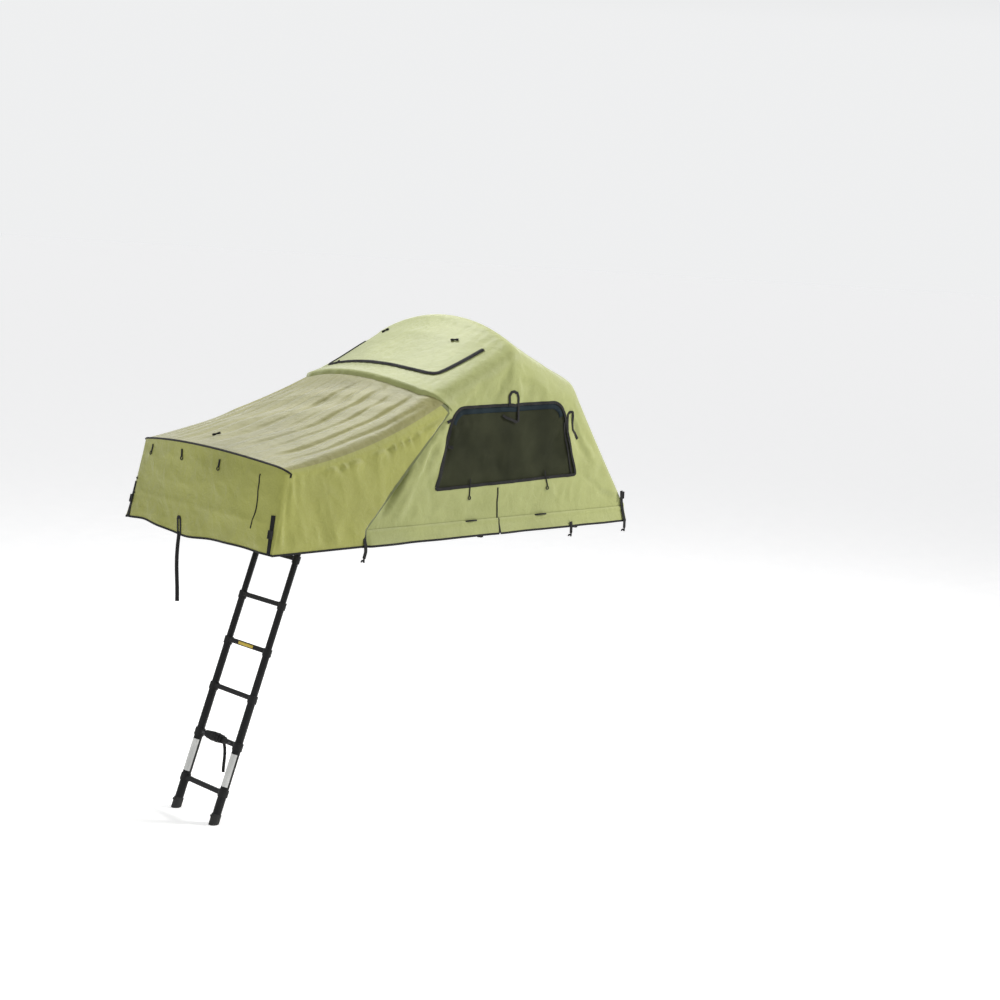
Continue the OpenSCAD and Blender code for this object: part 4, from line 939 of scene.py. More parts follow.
def endSurface(s):
    top = hoopLine("porch", tent["porchY"], tent["porchCorner"])
    side = tent["hemY"] / tent["porchY"]
    foot = np.stack([0 * top[:, 0] + tent["hemX"], top[:, 1] * side, 0 * top[:, 0] + tent["hemZ"]], 1)
    hs = np.linspace(0, 1, cells["end"] + 1)
    bulge = np.cos(math.pi / 2 * top[:, 1] / tent["porchY"])
    seat = s["seat"][0] + s["seat"][1] * easeIn(bulge / 0.2)
    grid = np.array([blend(foot, top, h) - np.outer(seat + s["bulge"] * math.sin(math.pi * h) * bulge, (1, 0, 0))
                     for h in hs])
    y, z = grid[..., 1], grid[..., 2]
    h = hs[:, None] + 0 * y
    dip = sum(deep * np.exp(-((y - at) / wide) ** 2) for deep, at, wide in s["dips"])
    grid[..., 2] -= dip * (1 - h) ** 2  # the hem hangs in waves
    edge = easeIn((tent["porchY"] - abs(y)) / 0.12) * easeIn(h / 0.12) * easeIn((1 - h) / 0.12)
    lift = s["swell"] * cloud(y * 2.4, z * 3.0, 51) + s["crease"] * crease(y * 3.5 + z, z * 7.0, 57)
    lift += s["fineCrease"] * crease(y * 9.0 - 3 * z, z * 13.0, 59)
    packed = (z - 0.085 - 0.03 * cloud(y * 2, 0 * z, 61)) / 0.018  # a crease from packing
    lift += s["packCrease"] * np.exp(-packed ** 2)
    wave = s["hemWave"] * np.sin(y * 17 + 1.1) * (1 - easeIn(h / 0.3)) * easeIn((tent["porchY"] - abs(y)) / 0.1)
    return makeSurface(grid, hs, 1.0, lift * edge + wave)


porch = porchSurface(porchSet)
porchEnd = endSurface(endSet)


def porchHalves(p):
    m = porch["grid"].shape[1]
    whole = gridObject("porchWhole", porch["grid"], "porch", finish["porchWall"])
    for name in ("porchRoof", "porchSeamShade"):
        whole.data.materials.append(finish[name])
    wall = cells["porchHem"] + cells["porchWall"]
    # roof faces take the roof cloth; the first rows of the side walls take the dark seam cloth, painted shade along
    # the front seam
    for f in whole.data.polygons:
        j = f.index % (m - 1)
        if wall + 5 <= j < m - 1 - wall - 5:
            f.material_index = 1
        elif f.index // (m - 1) < p["shadedSeamRows"]:
            f.material_index = 2
    applyModifier(whole, "SOLIDIFY", thickness=p["thick"], offset=-1.0)
    pieces = []
    for name, inner in (("porchInner", True), ("porchOuter", False)):
        piece = linkObject(name, whole.data.copy())
        openMesh(piece)
        bpy.ops.mesh.bisect(plane_co=rowPoint(p["splitX"], 0, 0), plane_no=(1, 0, 0), use_fill=True,
                            clear_inner=inner, clear_outer=not inner)
        closeMesh()
        smooth(piece, 60)
        pieces.append(piece)
    bpy.data.objects.remove(whole)
    return pieces


porchInner, porchOuter = porchHalves(porchSet)
attach(porchInner, "porchIn", "vestibule_fabric", "vestibule_canopy")
attach(porchOuter, "porchOut", "vestibule_fabric", "vestibule_canopy")
endCloth = clothPiece("porchEndWall", porchEnd, finish["porchWall"], thick=porchSet["thick"])
attach(endCloth, "porchOut", "vestibule_fabric", "vestibule_end_wall")
print("vestibule made:", len(porchInner.data.polygons), len(porchOuter.data.polygons))

# skirt round the base, in three pieces
skirtSet = {
    "top": -0.002, "endLift": 0.020, "flare": 0.026, "wave": 0.005, "ripple": 0.004, "roll": 0.0035,
    "start": -0.040, "stops": 12, "fit": 0.001, "thick": 0.0022, "levels": 12, "slit": 0.012,
    "hemTape": (0.014, 0.0030, -0.0026), "slitTape": (0.007, 0.0030, -0.0010),  # width, thickness, height
}


def skirtPath(s):
    y, x, r = tent["wallY"] + s["fit"], tent["endX"] + s["fit"], tent["bend"] + s["fit"]
    start, end = tent["frontX"] + s["start"], x - r
    stops = np.concatenate([np.linspace(start, 0, 82)[:-1], np.linspace(0, end, 80)[:-1]])
    side = [(at, -y, 0.0, -1.0) for at in stops]
    turn = [(x - r + r * math.cos(a), r - y + r * math.sin(a), math.cos(a), math.sin(a))
            for a in np.linspace(-math.pi / 2, 0, 12)]
    across = [(x, at, 1.0, 0.0) for at in np.linspace(r - y, 0, 44)[1:]]
    half = np.array(side + turn + across)
    other = half[:-1][::-1] * [1, -1, 1, -1]
    return np.concatenate([half, other])


def skirtSurface(s):
    path = skirtPath(s)
    start, end = tent["frontX"] + 0.006, tent["endX"] - tent["bend"]
    at = (path[:, 0] - start) / (end - start) * s["stops"]
    stop = np.floor(at)
    waves = np.radians(137 * stop), np.radians(137 * (stop + 1))
    wave = s["wave"] * blend(np.sin(waves[0]), np.sin(waves[1]), easeIn(at - stop))
    wave = np.where(abs(path[:, 2]) > 0.01, 0.4 * wave, wave)
    run = runAlong(path[:, :2])
    hs = np.linspace(0, 1, s["levels"] + 1)
    grid = []
    for h in hs:
        out = s["flare"] * (0.75 * h + 0.25 * h * h) + wave * h + s["thick"]
        out = out + s["ripple"] * h * cloud(run * 5.0, 0 * run + h * 1.5, 71)
        out = out + s["roll"] * math.exp(-((h - 0.12) / 0.12) ** 2)
        out = out - 0.010 * h * easeIn((-1.085 - path[:, 0]) / 0.03) - 0.003 * easeIn((-1.09 - path[:, 0]) / 0.02)
        top = s["top"] + s["endLift"] * easeIn(path[:, 2] / 0.5)  # higher across the closed end
        grid.append(np.stack([path[:, 0] + path[:, 2] * out, path[:, 1] + path[:, 3] * out,
                              blend(top, tent["hemZ"], h)], 1))
    return makeSurface(np.array(grid), hs, 1.0)


skirtCloth = skirtSurface(skirtSet)


def makeSkirt(s):
    grid = skirtCloth["grid"]
    first, *_, last = np.flatnonzero(grid[0, :, 0] >= -1e-9)
    pieces = {"skirtFixed": grid[:, first:last + 1], "skirtNearOut": grid[:, :first + 1].copy(),
              "skirtFarOut": grid[:, last:].copy()}
    gape = s["slit"] * skirtCloth["rows"] ** 2  # the slit over the hinge opens towards the hem
    for name, column in (("skirtNearOut", -1), ("skirtFarOut", 0)):
        pieces[name][:, column, 0] -= gape
    made = {}
    for name, part in pieces.items():
        surface = makeSurface(part, skirtCloth["rows"], 1.0)
        cloth = clothPiece(name, surface, finish["canopy"], thick=s["thick"])
        edges = [ribbonParts(part[-1], surface["normals"][-1], *s["hemTape"])]
        for column in (0, part.shape[1] - 1):
            if abs(part[0, column, 0]) < 0.001:
                edges.append(ribbonParts(part[:, column], surface["normals"][:, column], *s["slitTape"]))
        way = "fixed_base" if name == "skirtFixed" else "skirtOut"
        attach(cloth, way, "canopy_fabric", "skirt")
        binding = sewTape(name + "Hem", edges, way)
        length = float(runAlong(part[0])[-1])
        made[name] = cloth, binding, length, "fixed_frame" if name == "skirtFixed" else "foldout_frame"
    return made


skirtPieces = makeSkirt(skirtSet)
print("skirt made")


def rowLine(surface, row):
    i0, s = rowIndex(surface, row)
    return blend(surface["grid"][i0], surface["grid"][i0 + 1], s)


def columnAcross(surface, row, y, edge):  # the column at y on a roof
    line = rowLine(surface, row)
    part = np.arange(edge, len(line) - edge)
    return float(np.interp(y, line[part, 1], part))


def surfaceRibbon(surface, places, width, thick, lift):
    return ribbonOn([onSurface(surface, row, column) for row, column in places], width, thick, lift)


def mirrored(parts):
    flipped = []
    for verts, faces, uvs in parts:
        flipped.append((verts * [1, -1, 1], [f[::-1] for f in faces], uvs))
    return parts + flipped


def denser(points, steps):
    points = np.array(points, float)
    return np.concatenate([blend(points[i], points[i + 1], np.linspace(0, 1, steps + 1)[:-1, None])
                           for i in range(len(points) - 1)] + [points[-1:]])


porchEdge = cells["porchHem"] + cells["porchWall"]
endColumns = porchEnd["grid"].shape[1]


def endPlace(y, z):
    h = 0.5
    for _ in range(4):
        column = float(np.interp(y, rowLine(porchEnd, h)[:, 1], np.arange(endColumns)))
        top = onSurface(porchEnd, 1.0, column)[0][2]
        h = min(max((z - tent["hemZ"]) / (top - tent["hemZ"]), 0), 1)
    return h, column


# small hard pieces, each modelled once
hardSet = {"ring": (0.0105, 0.0026), "peg": (0.0048, 0.034), "buckle": (0.034, 0.050, 0.010),
           "hook": (0.0056, 0.030, 0.0110), "roofPeg": 1.5}


def hideModel(obj, name):
    obj.name = name
    bpy.context.collection.objects.unlink(obj)
    return obj


def ringModel(size):
    ring = newShape(bpy.ops.mesh.primitive_torus_add, major_radius=size[0], minor_radius=size[1],
                    major_segments=24, minor_segments=8)
    return hideModel(ring, "ringModel")


def pegModel(size):
    radius, length = size
    peg = newShape(bpy.ops.mesh.primitive_cylinder_add, vertices=16, radius=radius, depth=length,
                   rotation=(math.pi / 2, 0, 0))
    bpy.ops.object.transform_apply(rotation=True)
    openMesh(peg)
    for at in (-0.2, 0.2, 0.0):
        bpy.ops.mesh.select_all(action="SELECT")
        bpy.ops.mesh.bisect(plane_co=(0, at * length, 0), plane_no=(0, 1, 0))
    bpy.ops.transform.resize(value=(0.62, 1, 0.62))  # the waist that the loop sits in
    closeMesh()
    peg.data.transform(Matrix.Translation((0, 0, radius)))
    return hideModel(peg, "pegModel")


def buckleModel(size):
    buckle = newShape(bpy.ops.mesh.primitive_cube_add, size=1)
    buckle.data.transform(Matrix.Diagonal((*size, 1)) @ Matrix.Translation((0, 0, 0.5)))
    openMesh(buckle)
    bpy.ops.mesh.select_all(action="DESELECT")
    shape = bmesh.from_edit_mesh(buckle.data)
    for face in shape.faces:
        face.select = face.normal.z > 0.9
    bmesh.update_edit_mesh(buckle.data)
    bpy.ops.mesh.inset(thickness=0.006)
    bpy.ops.mesh.extrude_region_move(TRANSFORM_OT_translate={"value": (0, 0, -0.004)})
    closeMesh()
    applyModifier(buckle, "BEVEL", width=0.0012, segments=2, limit_method="ANGLE")
    return hideModel(buckle, "buckleModel")


def hookModel(size):
    radius, shank, turn = size
    hook = newShape(bpy.ops.mesh.primitive_circle_add, vertices=12, radius=radius, fill_type="NGON")
    openMesh(hook)
    bpy.ops.mesh.extrude_region_move(TRANSFORM_OT_translate={"value": (0, 0, -shank)})
    bpy.ops.mesh.spin(steps=12, angle=math.pi * 1.05, center=(turn, 0, -shank), axis=(0, -1, 0))
    closeMesh()
    faceOut(hook)
    return hideModel(hook, "hookModel")


ring, peg = ringModel(hardSet["ring"]), pegModel(hardSet["peg"])
buckle, hook = buckleModel(hardSet["buckle"]), hookModel(hardSet["hook"])
sewn = {name: [] for name in ("canopyRear", "canopyFront", "porchInner", "porchOuter", "endCloth", "skirtFixed",
                              "skirtNearOut", "skirtFarOut")}
print("small pieces modelled")

# straps, tabs and zips of the main canopy
wallTrims = {
    "wide": 0.018, "tabWide": 0.020, "tieWide": 0.008, "thick": 0.003, "lift": 0.0015,
    "slitTape": (0.009, 0.0035, 0.0),
    "topLoop": ((0.068, 0.711), (0.064, 0.779), (0.080, 0.804), (0.104, 0.810), (0.129, 0.802), (0.143, 0.766),
                (0.150, 0.612)),
    "topTie": ((0.012, 0.657), (0.045, 0.639), (0.140, 0.612)),
    "sideLoop": ((0.623, 0.538), (0.617, 0.648), (0.637, 0.667), (0.662, 0.661), (0.674, 0.541), (0.711, 0.515),
                 (0.740, 0.477)),
    "tabs": (((-0.475, 0.624), (-0.433, 0.642)), ((-0.462, 0.476), (-0.420, 0.469))),
    "lowTies": (((-0.261, 0.262), (-0.261, 0.150)), ((0.425, 0.280), (0.448, 0.175))),
    "slit": ((-0.012, 0.194), (-0.010, 0.150), (-0.016, 0.100), (-0.011, 0.050), (-0.007, -0.008)),
}


def makeWallTrims(s):
    for side, far in (("near", False), ("far", True)):
        rearParts = [wallRibbon(denser(s[k], 5), s["wide"], s["thick"], s["lift"], far)
                     for k in ("topLoop", "topTie", "sideLoop")]
        frontParts = [wallRibbon(denser(t, 4), s["tabWide"], s["thick"], s["lift"], far) for t in s["tabs"]]
        frontParts.append(wallRibbon(denser(s["slit"], 5), *s["slitTape"], far))
        places = {"rear": [], "front": []}
        for line in s["lowTies"]:
            way = "rear" if line[0][0] > 0 else "front"
            tie = wallRibbon(denser(line, 5), s["tieWide"], s["thick"], s["lift"], far)
            (rearParts if way == "rear" else frontParts).append(tie)
            at, normal = onWall(line[-1][0], line[-1][1] - 0.010, 0.004, far)
            places[way].append(facing(at, normal, (0, 0, -1)))
        for way, parts, owner in (("rear", rearParts, "canopyRear"), ("front", frontParts, "canopyFront")):
            sewn[owner].append(sewTape(side + "WallTrims" + way.title(), parts, way))
            sewn[owner].append(placeHard(ring, side + "WallRings" + way.title(), places[way], way))


makeWallTrims(wallTrims)

# skylight flap with its zip, the roof's toggles and the brim over the vestibule
skylightSet = {
    "halfY": 0.526, "lift": 0.0034, "cells": 72,
    "zip": ((2.240, -0.532), (2.400, -0.524), (2.520, -0.516), (2.660, -0.503), (2.740, -0.490), (2.775, -0.470),
            (2.800, -0.430), (2.812, -0.380), (2.830, -0.274), (2.852, -0.034), (2.858, 0.150), (2.858, 0.292),
            (2.856, 0.470), (2.848, 0.510), (2.820, 0.528), (2.760, 0.530), (2.650, 0.528), (2.380, 0.522)),
    "zipTape": (0.030, 0.0034, 0.0030), "coilTape": (0.009, 0.0030, 0.0062), "pullAt": -28, "thick": 0.0020,
    "toggles": ((-0.037, 0.421), (-0.088, -0.317)),
}
brimSet = {"back": 2.930, "proud": 0.010, "thick": 0.0024, "ripple": 0.003,
           "drop": ((0.45, 0.02), (0.80, 0.16), (0.92, 0.45), (0.95, 0.75), (0.97, 1.05))}


def roofPlace(u, y):
    return u, columnAcross(canopy, u, y, cells["wall"])


def makeSkylight(s):
    ts = np.linspace(0, 1, 24)
    ys = np.linspace(-s["halfY"], s["halfY"], s["cells"] + 1)
    front = np.array(s["zip"][2:-2])
    ends = np.interp(ys, front[:, 1], front[:, 0]) - 0.004
    grid = np.array([[onSurface(canopy, *roofPlace(blend(splitRow + 0.001, end, t), y), s["lift"])[0]
                      for y, end in zip(ys, ends)] for t in ts])
    flap = clothPiece("skylightFlap", makeSurface(grid, ts, -1.0), finish["canopy"], thick=s["thick"])
    attach(flap, "front", "canopy_fabric", "skylight_flap")
    line = [roofPlace(u, y) for u, y in denser(s["zip"], 5)]
    parts = [surfaceRibbon(canopy, line, *s["zipTape"]),
             surfaceRibbon(canopy, line, *s["coilTape"])]
    pull = onSurface(canopy, *line[s["pullAt"]], 0.006)
    zipTape = sewTape("skylightZip", parts, "front")
    places = [facing(pull[0], pull[1], (-1, 0, 0))]
    for x, y in s["toggles"]:
        us = np.linspace(splitRow, 3, 60)
        xs = [onSurface(canopy, *roofPlace(u, y))[0][0] for u in us]
        u = float(np.interp(-x, -np.array(xs), us))
        at, normal = onSurface(canopy, *roofPlace(u, y), 0.004)
        places.append(facing(at, normal, (-0.6, 0.8, 0)) @ Matrix.Scale(hardSet["roofPeg"], 4))
    pegs = placeHard(peg, "skylightToggles", places, "front")


def makeBrim(s):
    v = np.arange(roofCount) / (roofCount - 1)
    reach = porchSet["step"] * (0.12 + 0.88 * easeIn(v / 0.14) * easeIn((1 - v) / 0.14))
    wall = cells["wall"]
    back = np.array([onSurface(canopy, s["back"], wall + k, 0.0026)[0] for k in range(roofCount)])
    crest = hoopLine("front", tent["canopyY"], tent["hoopCorner"], s["proud"])
    rows = [back, crest]
    ripple = s["ripple"] * np.sin(v * 58 + 2 * cloud(v * 9, 0 * v, 77))
    for forward, fall in s["drop"]:
        rows.append(crest + np.outer(reach, (-forward, 0, -fall)) - np.outer(ripple * fall, (1, 0, 0)))
    surface = makeSurface(np.array(rows), range(len(rows)), -1.0)
    brim = clothPiece("frontBrim", surface, finish["canopy"], thick=s["thick"])
    attach(brim, "front", "canopy_fabric")


makeSkylight(skylightSet)
makeBrim(brimSet)
print("skylight and brim made")

# inner door of net
doorSet = {"first": 3.14, "last": 3.955, "halfY": 0.432, "inside": 0.0046}


def makeDoor(s):
    us = np.linspace(s["first"], s["last"], 30)
    ys = np.linspace(-s["halfY"], s["halfY"], 40)
    depth = -canopySet["thick"] - s["inside"]
    grid = np.array([[onSurface(canopy, *roofPlace(u, y), depth)[0] for y in ys] for u in us])
    door = clothPiece("innerDoor", makeSurface(grid, us, -1.0), finish["net"], thick=windowSet["netThick"])
    attach(door, "front", "mesh", "inner_door")


makeDoor(doorSet)

# trims of the vestibule
porchTrims = {
    "toggles": ((0.550, 0.385), (0.172, 0.405), (-0.210, 0.392)),
    "doorZip": ((-0.569, 0.352), (-0.576, 0.224), (-0.566, 0.120), (-0.548, 0.031)),
    "loop": ((0.147, -0.096), (0.147, -0.010), (0.155, 0.006), (0.170, 0.006), (0.178, -0.010), (0.178, -0.096)),
    "corner": ((0.706, 0.130), (0.724, -0.098)), "roofToggle": (0.094, -1.639),
    "farTabs": ((0.735, 0.150), (0.740, 0.060)), "buckle": (0.7145, 0.020),
    # width, thickness and height over the cloth of each tape
    "toggleTape": (0.015, 0.003, 0.001), "zipTape": (0.007, 0.003, 0.0), "loopTape": (0.016, 0.003, 0.0012),
    "tabTape": (0.010, 0.003, 0.001), "hemTape": (0.013, 0.0034, -0.0008), "piping": (0.011, 0.006, -0.001),
    "cornerTape": (0.028, 0.003, 0.001),
}


def makePorchTrims(s):
    m = porch["grid"].shape[1]
    ss = np.linspace(0, 1, 77)
    parts, places = [], []

    def endTape(line, tape):
        parts.append(surfaceRibbon(porchEnd, [endPlace(y, z) for y, z in line], *s[tape]))

    for y, z in s["toggles"]:
        endTape([(y, z - d) for d in np.linspace(0, 0.046, 6)], "toggleTape")
        at, normal = onSurface(porchEnd, *endPlace(y, z - 0.056), 0.004)
        places.append(facing(at, normal, (0, 0, -1)))
    endTape(denser(s["doorZip"], 8), "zipTape")
    endTape(denser(s["loop"], 5), "loopTape")
    for y, z in s["farTabs"]:
        endTape([(y - d, z) for d in np.linspace(0, 0.05, 4)], "tabTape")
    parts.append(surfaceRibbon(porchEnd, [(0.012, k) for k in range(endColumns)], *s["hemTape"]))
    top = [onSurface(porch, 1.0, k) for k in range(porchEdge - 2, m - porchEdge + 2)]
    leaning = [(at, (normal + (-0.5, 0, 0.2)) / 1.15) for at, normal in top]  # over the end wall
    parts.append(ribbonOn(leaning, *s["piping"]))
    edges = [onSurface(porch, q, 0.35) for q in ss if onSurface(porch, q, 0)[0][0] < porchSet["splitX"]]
    parts += mirrored([ribbonOn(edges, *s["hemTape"])])
    for side in (1, -1):
        endTape([(y * side, z) for y, z in denser(s["corner"], 13)], "cornerTape")
    trims = sewTape("porchTrims", parts, "porchOut")
    y, x = s["roofToggle"]
    xs = [-onSurface(porch, q, columnAcross(porch, q, y, porchEdge))[0][0] for q in ss]
    row = float(np.interp(-x, xs, ss))
    at, normal = onSurface(porch, row, columnAcross(porch, row, y, porchEdge), 0.003)
    place = facing(at, normal, (0.7, -0.7, 0)) @ Matrix.Scale(hardSet["roofPeg"], 4)
    pegs = placeHard(peg, "porchToggle", [place], "porchOut")
    rings = placeHard(ring, "porchRings", places, "porchOut")
    holds = []
    for side in (1, -1):
        at, normal = onSurface(porchEnd, *endPlace(s["buckle"][0] * side, s["buckle"][1]), 0.003)
        holds.append(facing(at, normal, (0, 0, -1)))
    buckles = placeHard(buckle, "porchBuckles", holds, "porchOut")
    sewn["endCloth"] += [trims, rings]
    sewn["porchOuter"] += [pegs, buckles]
    inner = [onSurface(porch, q, 0.35) for q in ss if onSurface(porch, q, 0)[0][0] >= porchSet["splitX"] - 0.012]
    hem = mirrored([ribbonOn(inner, *s["hemTape"])])
    sewn["porchInner"].append(sewTape("porchInnerHem", hem, "porchIn"))


makePorchTrims(porchTrims)
print("vestibule trims made")

# handles and hook straps on the skirt
skirtTrims = {
    "handles": ((-0.294, -0.195), (0.332, 0.441)), "buckle": (1.180, -0.7325, 0.075),
    "handleTape": (0.010, 0.003, 0.0), "strapTape": (0.025, 0.003, 0.0),  # width, thickness, height
    "straps": {
        "porchIn": ((-1.144, -0.7335, 0.004), (-1.143, -0.741, -0.036), (-1.141, -0.7595, -0.094),
                    (-1.140, -0.7605, -0.128), (-1.152, -0.7610, -0.168)),
        "middle": ((0.660, -0.753, -0.070), (0.660, -0.7575, -0.094), (0.661, -0.7590, -0.146)),
        "end": ((1.176, -0.7285, 0.105), (1.186, -0.7300, 0.020), (1.192, -0.7420, -0.040), (1.195, -0.7600, -0.095),
                (1.196, -0.7610, -0.150)),
    },
}


def makeSkirtTrims(s):
    handles = {"fixed_base": [], "skirtOut": []}
    for x0, x1 in s["handles"]:
        line = [(blend(x0, x1, t), -0.7275 - 0.012 * math.sin(math.pi * t), -0.006 + 0.004 * math.sin(math.pi * t))
                for t in np.linspace(0, 1, 13)]
        handles["fixed_base" if x0 > 0 else "skirtOut"].append(ribbonParts(line, (0, -1, 0), *s["handleTape"]))
    straps = {"fixed_base": [], "porchIn": []}
    hooks = {"fixed_base": [], "porchIn": []}
    for key, line in s["straps"].items():
        way = key if key == "porchIn" else "fixed_base"
        straps[way].append(ribbonParts(denser(line, 5), (0, -1, 0), *s["strapTape"]))
        for side in (1, -1):
            x, y, z = line[-1]
            turn = Matrix.Rotation(math.pi / 2 * side, 4, "Z")
            hooks[way].append(Matrix.Translation((x, (y - 0.0015) * side, z + 0.006)) @ turn)
    x, y, z = s["buckle"]
    buckles = [facing((x, y * side, z), (0, -side, 0), (0, 0, -1)) for side in (1, -1)]
    sewn["skirtFixed"].append(sewTape("handlesFixed", mirrored(handles["fixed_base"]), "fixed_base"))
    sewn["skirtNearOut"].append(sewTape("handlesOut", mirrored(handles["skirtOut"]), "skirtOut"))
    for way, owner, name in (("fixed_base", "skirtFixed", "Fixed"), ("porchIn", "porchInner", "Porch")):
        sewn[owner].append(sewTape("hookStraps" + name, mirrored(straps[way]), way, "hem_straps"))
        sewn[owner].append(placeHard(hook, "hooks" + name, hooks[way], way))
    sewn["skirtFixed"].append(placeHard(buckle, "endBuckles", buckles, "fixed_base"))


makeSkirtTrims(skirtTrims)

# mattress halves
padSet = {"cuts": 34, "edge": 0.022, "quilt": 0.28, "deep": 0.005}


def makePad(name, body, node, s):
    low, high = (Vector(c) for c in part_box(node))
    half, middle = (high - low) / 2, (high + low) / 2
    pad = newShape(bpy.ops.mesh.primitive_cube_add, size=2)
    pad.name = name
    openMesh(pad)
    bpy.ops.mesh.subdivide(number_cuts=s["cuts"])
    closeMesh()
    for v in pad.data.vertices:
        full = Vector((v.co.x * half.x, v.co.y * half.y, v.co.z * half.z))
        core = Vector([max(-h + s["edge"], min(h - s["edge"], c)) for c, h in zip(full, half)])
        rest = full - core
        at = core + rest.normalized() * s["edge"] if rest.length > 1e-9 else full
        dip = abs(math.sin(at.x * math.pi / s["quilt"]) * math.sin(at.y * math.pi / s["quilt"])) ** 0.5
        at.z -= math.copysign(s["deep"] * (1 - dip), at.z) if abs(v.co.z) > 0.99 else 0
        v.co = at + middle
    pad.data.materials.append(finish["quilt"])
    smooth(pad, 60)
    attach(pad, body, "mattress_fabric", node)


makePad("fixedPad", "fixed_base", "fixed_mattress", padSet)
makePad("foldoutPad", "foldout_base", "foldout_mattress", padSet)
print("straps and mattresses made")

# plain strips and the wound strap on the ladder
ladderSet = {
    "pivot": (-1.152, -0.075), "lean": 19.0, "spread": 0.400,
    "strip": (1.450, 1.655, 0.0273, 0.0008, -28),  # start and end down the ladder, radius, thickness, turn
    "rungStrip": (0.796, 0.150, 0.018, 0.0195, 0.0010),  # place, length, height, how far out, thickness
    "turns": (1.396, 7, 0.104, 0.0235, 0.025),  # place down the ladder, count, first, gap, width
    "band": (0.0425, 0.0345, 0.009, 0.0026),  # size both ways, corner, thickness
    "strapEnd": (0.020, 0.0024), "strapStart": (-0.004, -0.058, 0.017),
    "strapRoute": ((0, 0, 0), (2, 0, -10), (6, 0, -30), (9, 1, -60), (10, 3, -95), (9, 6, -130), (8, 8, -160),
                   (8, 9, -190)),  # in millimetres
}


def ladderFrame(s):  # Z runs down the ladder, X out of its front
    lean = math.radians(s["lean"])
    down = Vector((-math.sin(lean), 0, -math.cos(lean)))
    front = Vector((-math.cos(lean), 0, math.sin(lean)))
    turn = Matrix((front, down.cross(front), down)).transposed().to_4x4()
    return Matrix.Translation(-origin) @ Matrix.Translation(rowPoint(s["pivot"][0], 0, s["pivot"][1])) @ turn


def makeStileStrip(s):
    start, end, radius, thick, aim = s["strip"]
    strip = newShape(bpy.ops.mesh.primitive_cylinder_add, vertices=64, radius=radius, depth=end - start,
                     end_fill_type="NOTHING")
    openMesh(strip)
    bpy.ops.mesh.bisect(plane_co=(radius * 0.62, 0, 0), plane_no=(1, 0, 0), clear_inner=True)
    closeMesh()
    applyModifier(strip, "SOLIDIFY", thickness=thick, offset=1.0)
    hideModel(strip, "stripModel")
    turn = Matrix.Rotation(math.radians(aim), 4, "Z")
    places = [ladderFrame(s) @ Matrix.Translation((0, side * s["spread"] / 2, (start + end) / 2)) @ turn
              for side in (1, -1)]
    attach(copyModel(strip, "stileStrips", places, finish["strip"]), "ladder_base", "ladder_plastic")


def makeRungStrip(s):
    at, long, tall, out, thick = s["rungStrip"]
    strip = newShape(bpy.ops.mesh.primitive_cube_add, size=1)
    strip.data.transform(Matrix.Diagonal((thick, long, tall, 1)))
    applyModifier(strip, "BEVEL", width=0.0003, segments=2)
    hideModel(strip, "rungStripModel")
    place = ladderFrame(s) @ Matrix.Translation((out, 0, at))
    attach(copyModel(strip, "rungStrip", [place], finish["yellow"]), "ladder_section_3", "ladder_plastic")


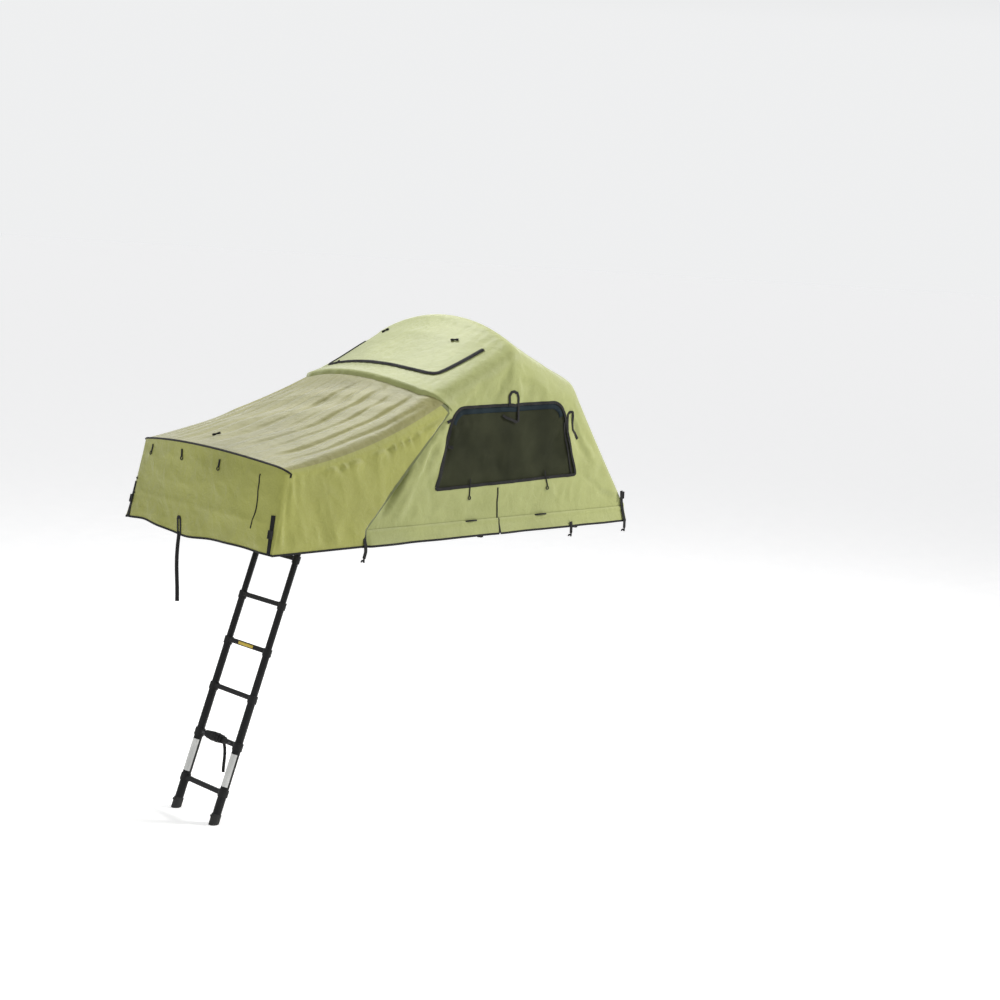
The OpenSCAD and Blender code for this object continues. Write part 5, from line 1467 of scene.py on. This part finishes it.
def makeRungStrap(s):  # the closing strap, wound round a rung with its end hanging
    at, turns, first, gap, wide = s["turns"]
    deep, tall, corner, thick = s["band"]
    band = newShape(bpy.ops.mesh.primitive_cylinder_add, vertices=4, radius=math.sqrt(0.5), depth=1,
                    end_fill_type="NOTHING")
    upright = Matrix.Rotation(math.pi / 2, 4, "X") @ Matrix.Rotation(math.pi / 4, 4, "Z")
    band.data.transform(Matrix.Diagonal((deep, wide, tall, 1)) @ upright)
    applyModifier(band, "BEVEL", width=corner, segments=5)
    applyModifier(band, "SOLIDIFY", thickness=thick, offset=1.0)
    hideModel(band, "bandModel")
    ladder = ladderFrame(s)
    places = []
    for k in range(turns):  # more layers towards the middle
        fat = 1 + 0.42 * math.sin(math.pi * (k + 0.4) / turns)
        tilt = Matrix.Rotation(math.radians(9 if k % 2 else -7), 4, "X")
        here = ladder @ Matrix.Translation((0, first - gap * k, at))
        places.append(here @ tilt @ Matrix.Diagonal((fat, 1, fat, 1)))
    wound = copyModel(band, "rungStrapTurns", places, finish["tape"])
    out, y, low = s["strapStart"]
    start = np.array(ladder @ Vector((out, y, at + low)))
    route = evenly(start + np.array(s["strapRoute"], float) / 1000, 0.010)
    width, thin = s["strapEnd"]
    end = joinParts("rungStrapEnd", [ribbonParts(route, (-0.8, -0.6, 0), width, thin, -thin / 2)], finish["tape"])
    for piece in (wound, end):
        attach(piece, "ladder_base", "webbing")


makeStileStrip(ladderSet)
makeRungStrip(ladderSet)
makeRungStrap(ladderSet)
print("ladder strips made")

# floor of the studio
floorSet = {"size": 900, "below": 0.0008, "glow": (1, 0.985, 0.96, 1), "strength": 0.47}
studioFloor = newShape(bpy.ops.mesh.primitive_plane_add, size=floorSet["size"],
                       location=rowPoint(0, 0, tent["groundZ"] - floorSet["below"]))
studioFloor.name = "studioFloor"
studioFloor.data.materials.append(finish["floor"])
glow = finish["floor"].node_tree.nodes["Principled BSDF"]
glow.inputs["Emission Color"].default_value = floorSet["glow"]
glow.inputs["Emission Strength"].default_value = floorSet["strength"]

# finishes of the solids that show as they are
nodeFinish = {
    "alloy": ("fixed_frame", "foldout_frame", "fixed_fabric_rails", "foldout_fabric_rails"),
    "panel": ("fixed_panel", "foldout_panel"),
    "powder": ("fixed_hinge_plates", "foldout_hinge_plates", "vestibule_brackets", "ladder_brackets"),
    "zinc": ("hinge_pins", "hoop_pivot_studs", "vestibule_pivot_studs", "ladder_pivot_bolts", "clamp_bolts",
             "clamp_nuts"),
    "rail": ("hinge_rail", "end_rail"),
    "plastic": ("rail_end_caps", "clamp_saddles", "clamp_jaws", "clamp_knob_1", "clamp_knob_2", "clamp_knob_3",
                "clamp_knob_4", "front_hoop_ends", "ridge_hoop_ends", "rear_hoop_ends", "vestibule_hoop_ends"),
    "hoopAlloy": ("front_hoop", "ridge_hoop", "rear_hoop", "vestibule_hoop"),
    "stile": ("ladder_head_tubes", "ladder_tubes_5", "ladder_tubes_4", "ladder_tubes_3", "ladder_tubes_2",
              "ladder_base_tubes"),
    "tread": ("ladder_head_rung", "rung_5", "rung_4", "rung_3", "rung_2", "ladder_base_rungs"),
    "rubber": ("ladder_feet",),
    "button": ("release_button_left", "release_button_right"),
}
for finishName, nodeNames in nodeFinish.items():
    for nodeName in nodeNames:
        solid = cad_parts[nodeName]
        solid.data.materials.clear()
        solid.data.materials.append(finish[finishName])
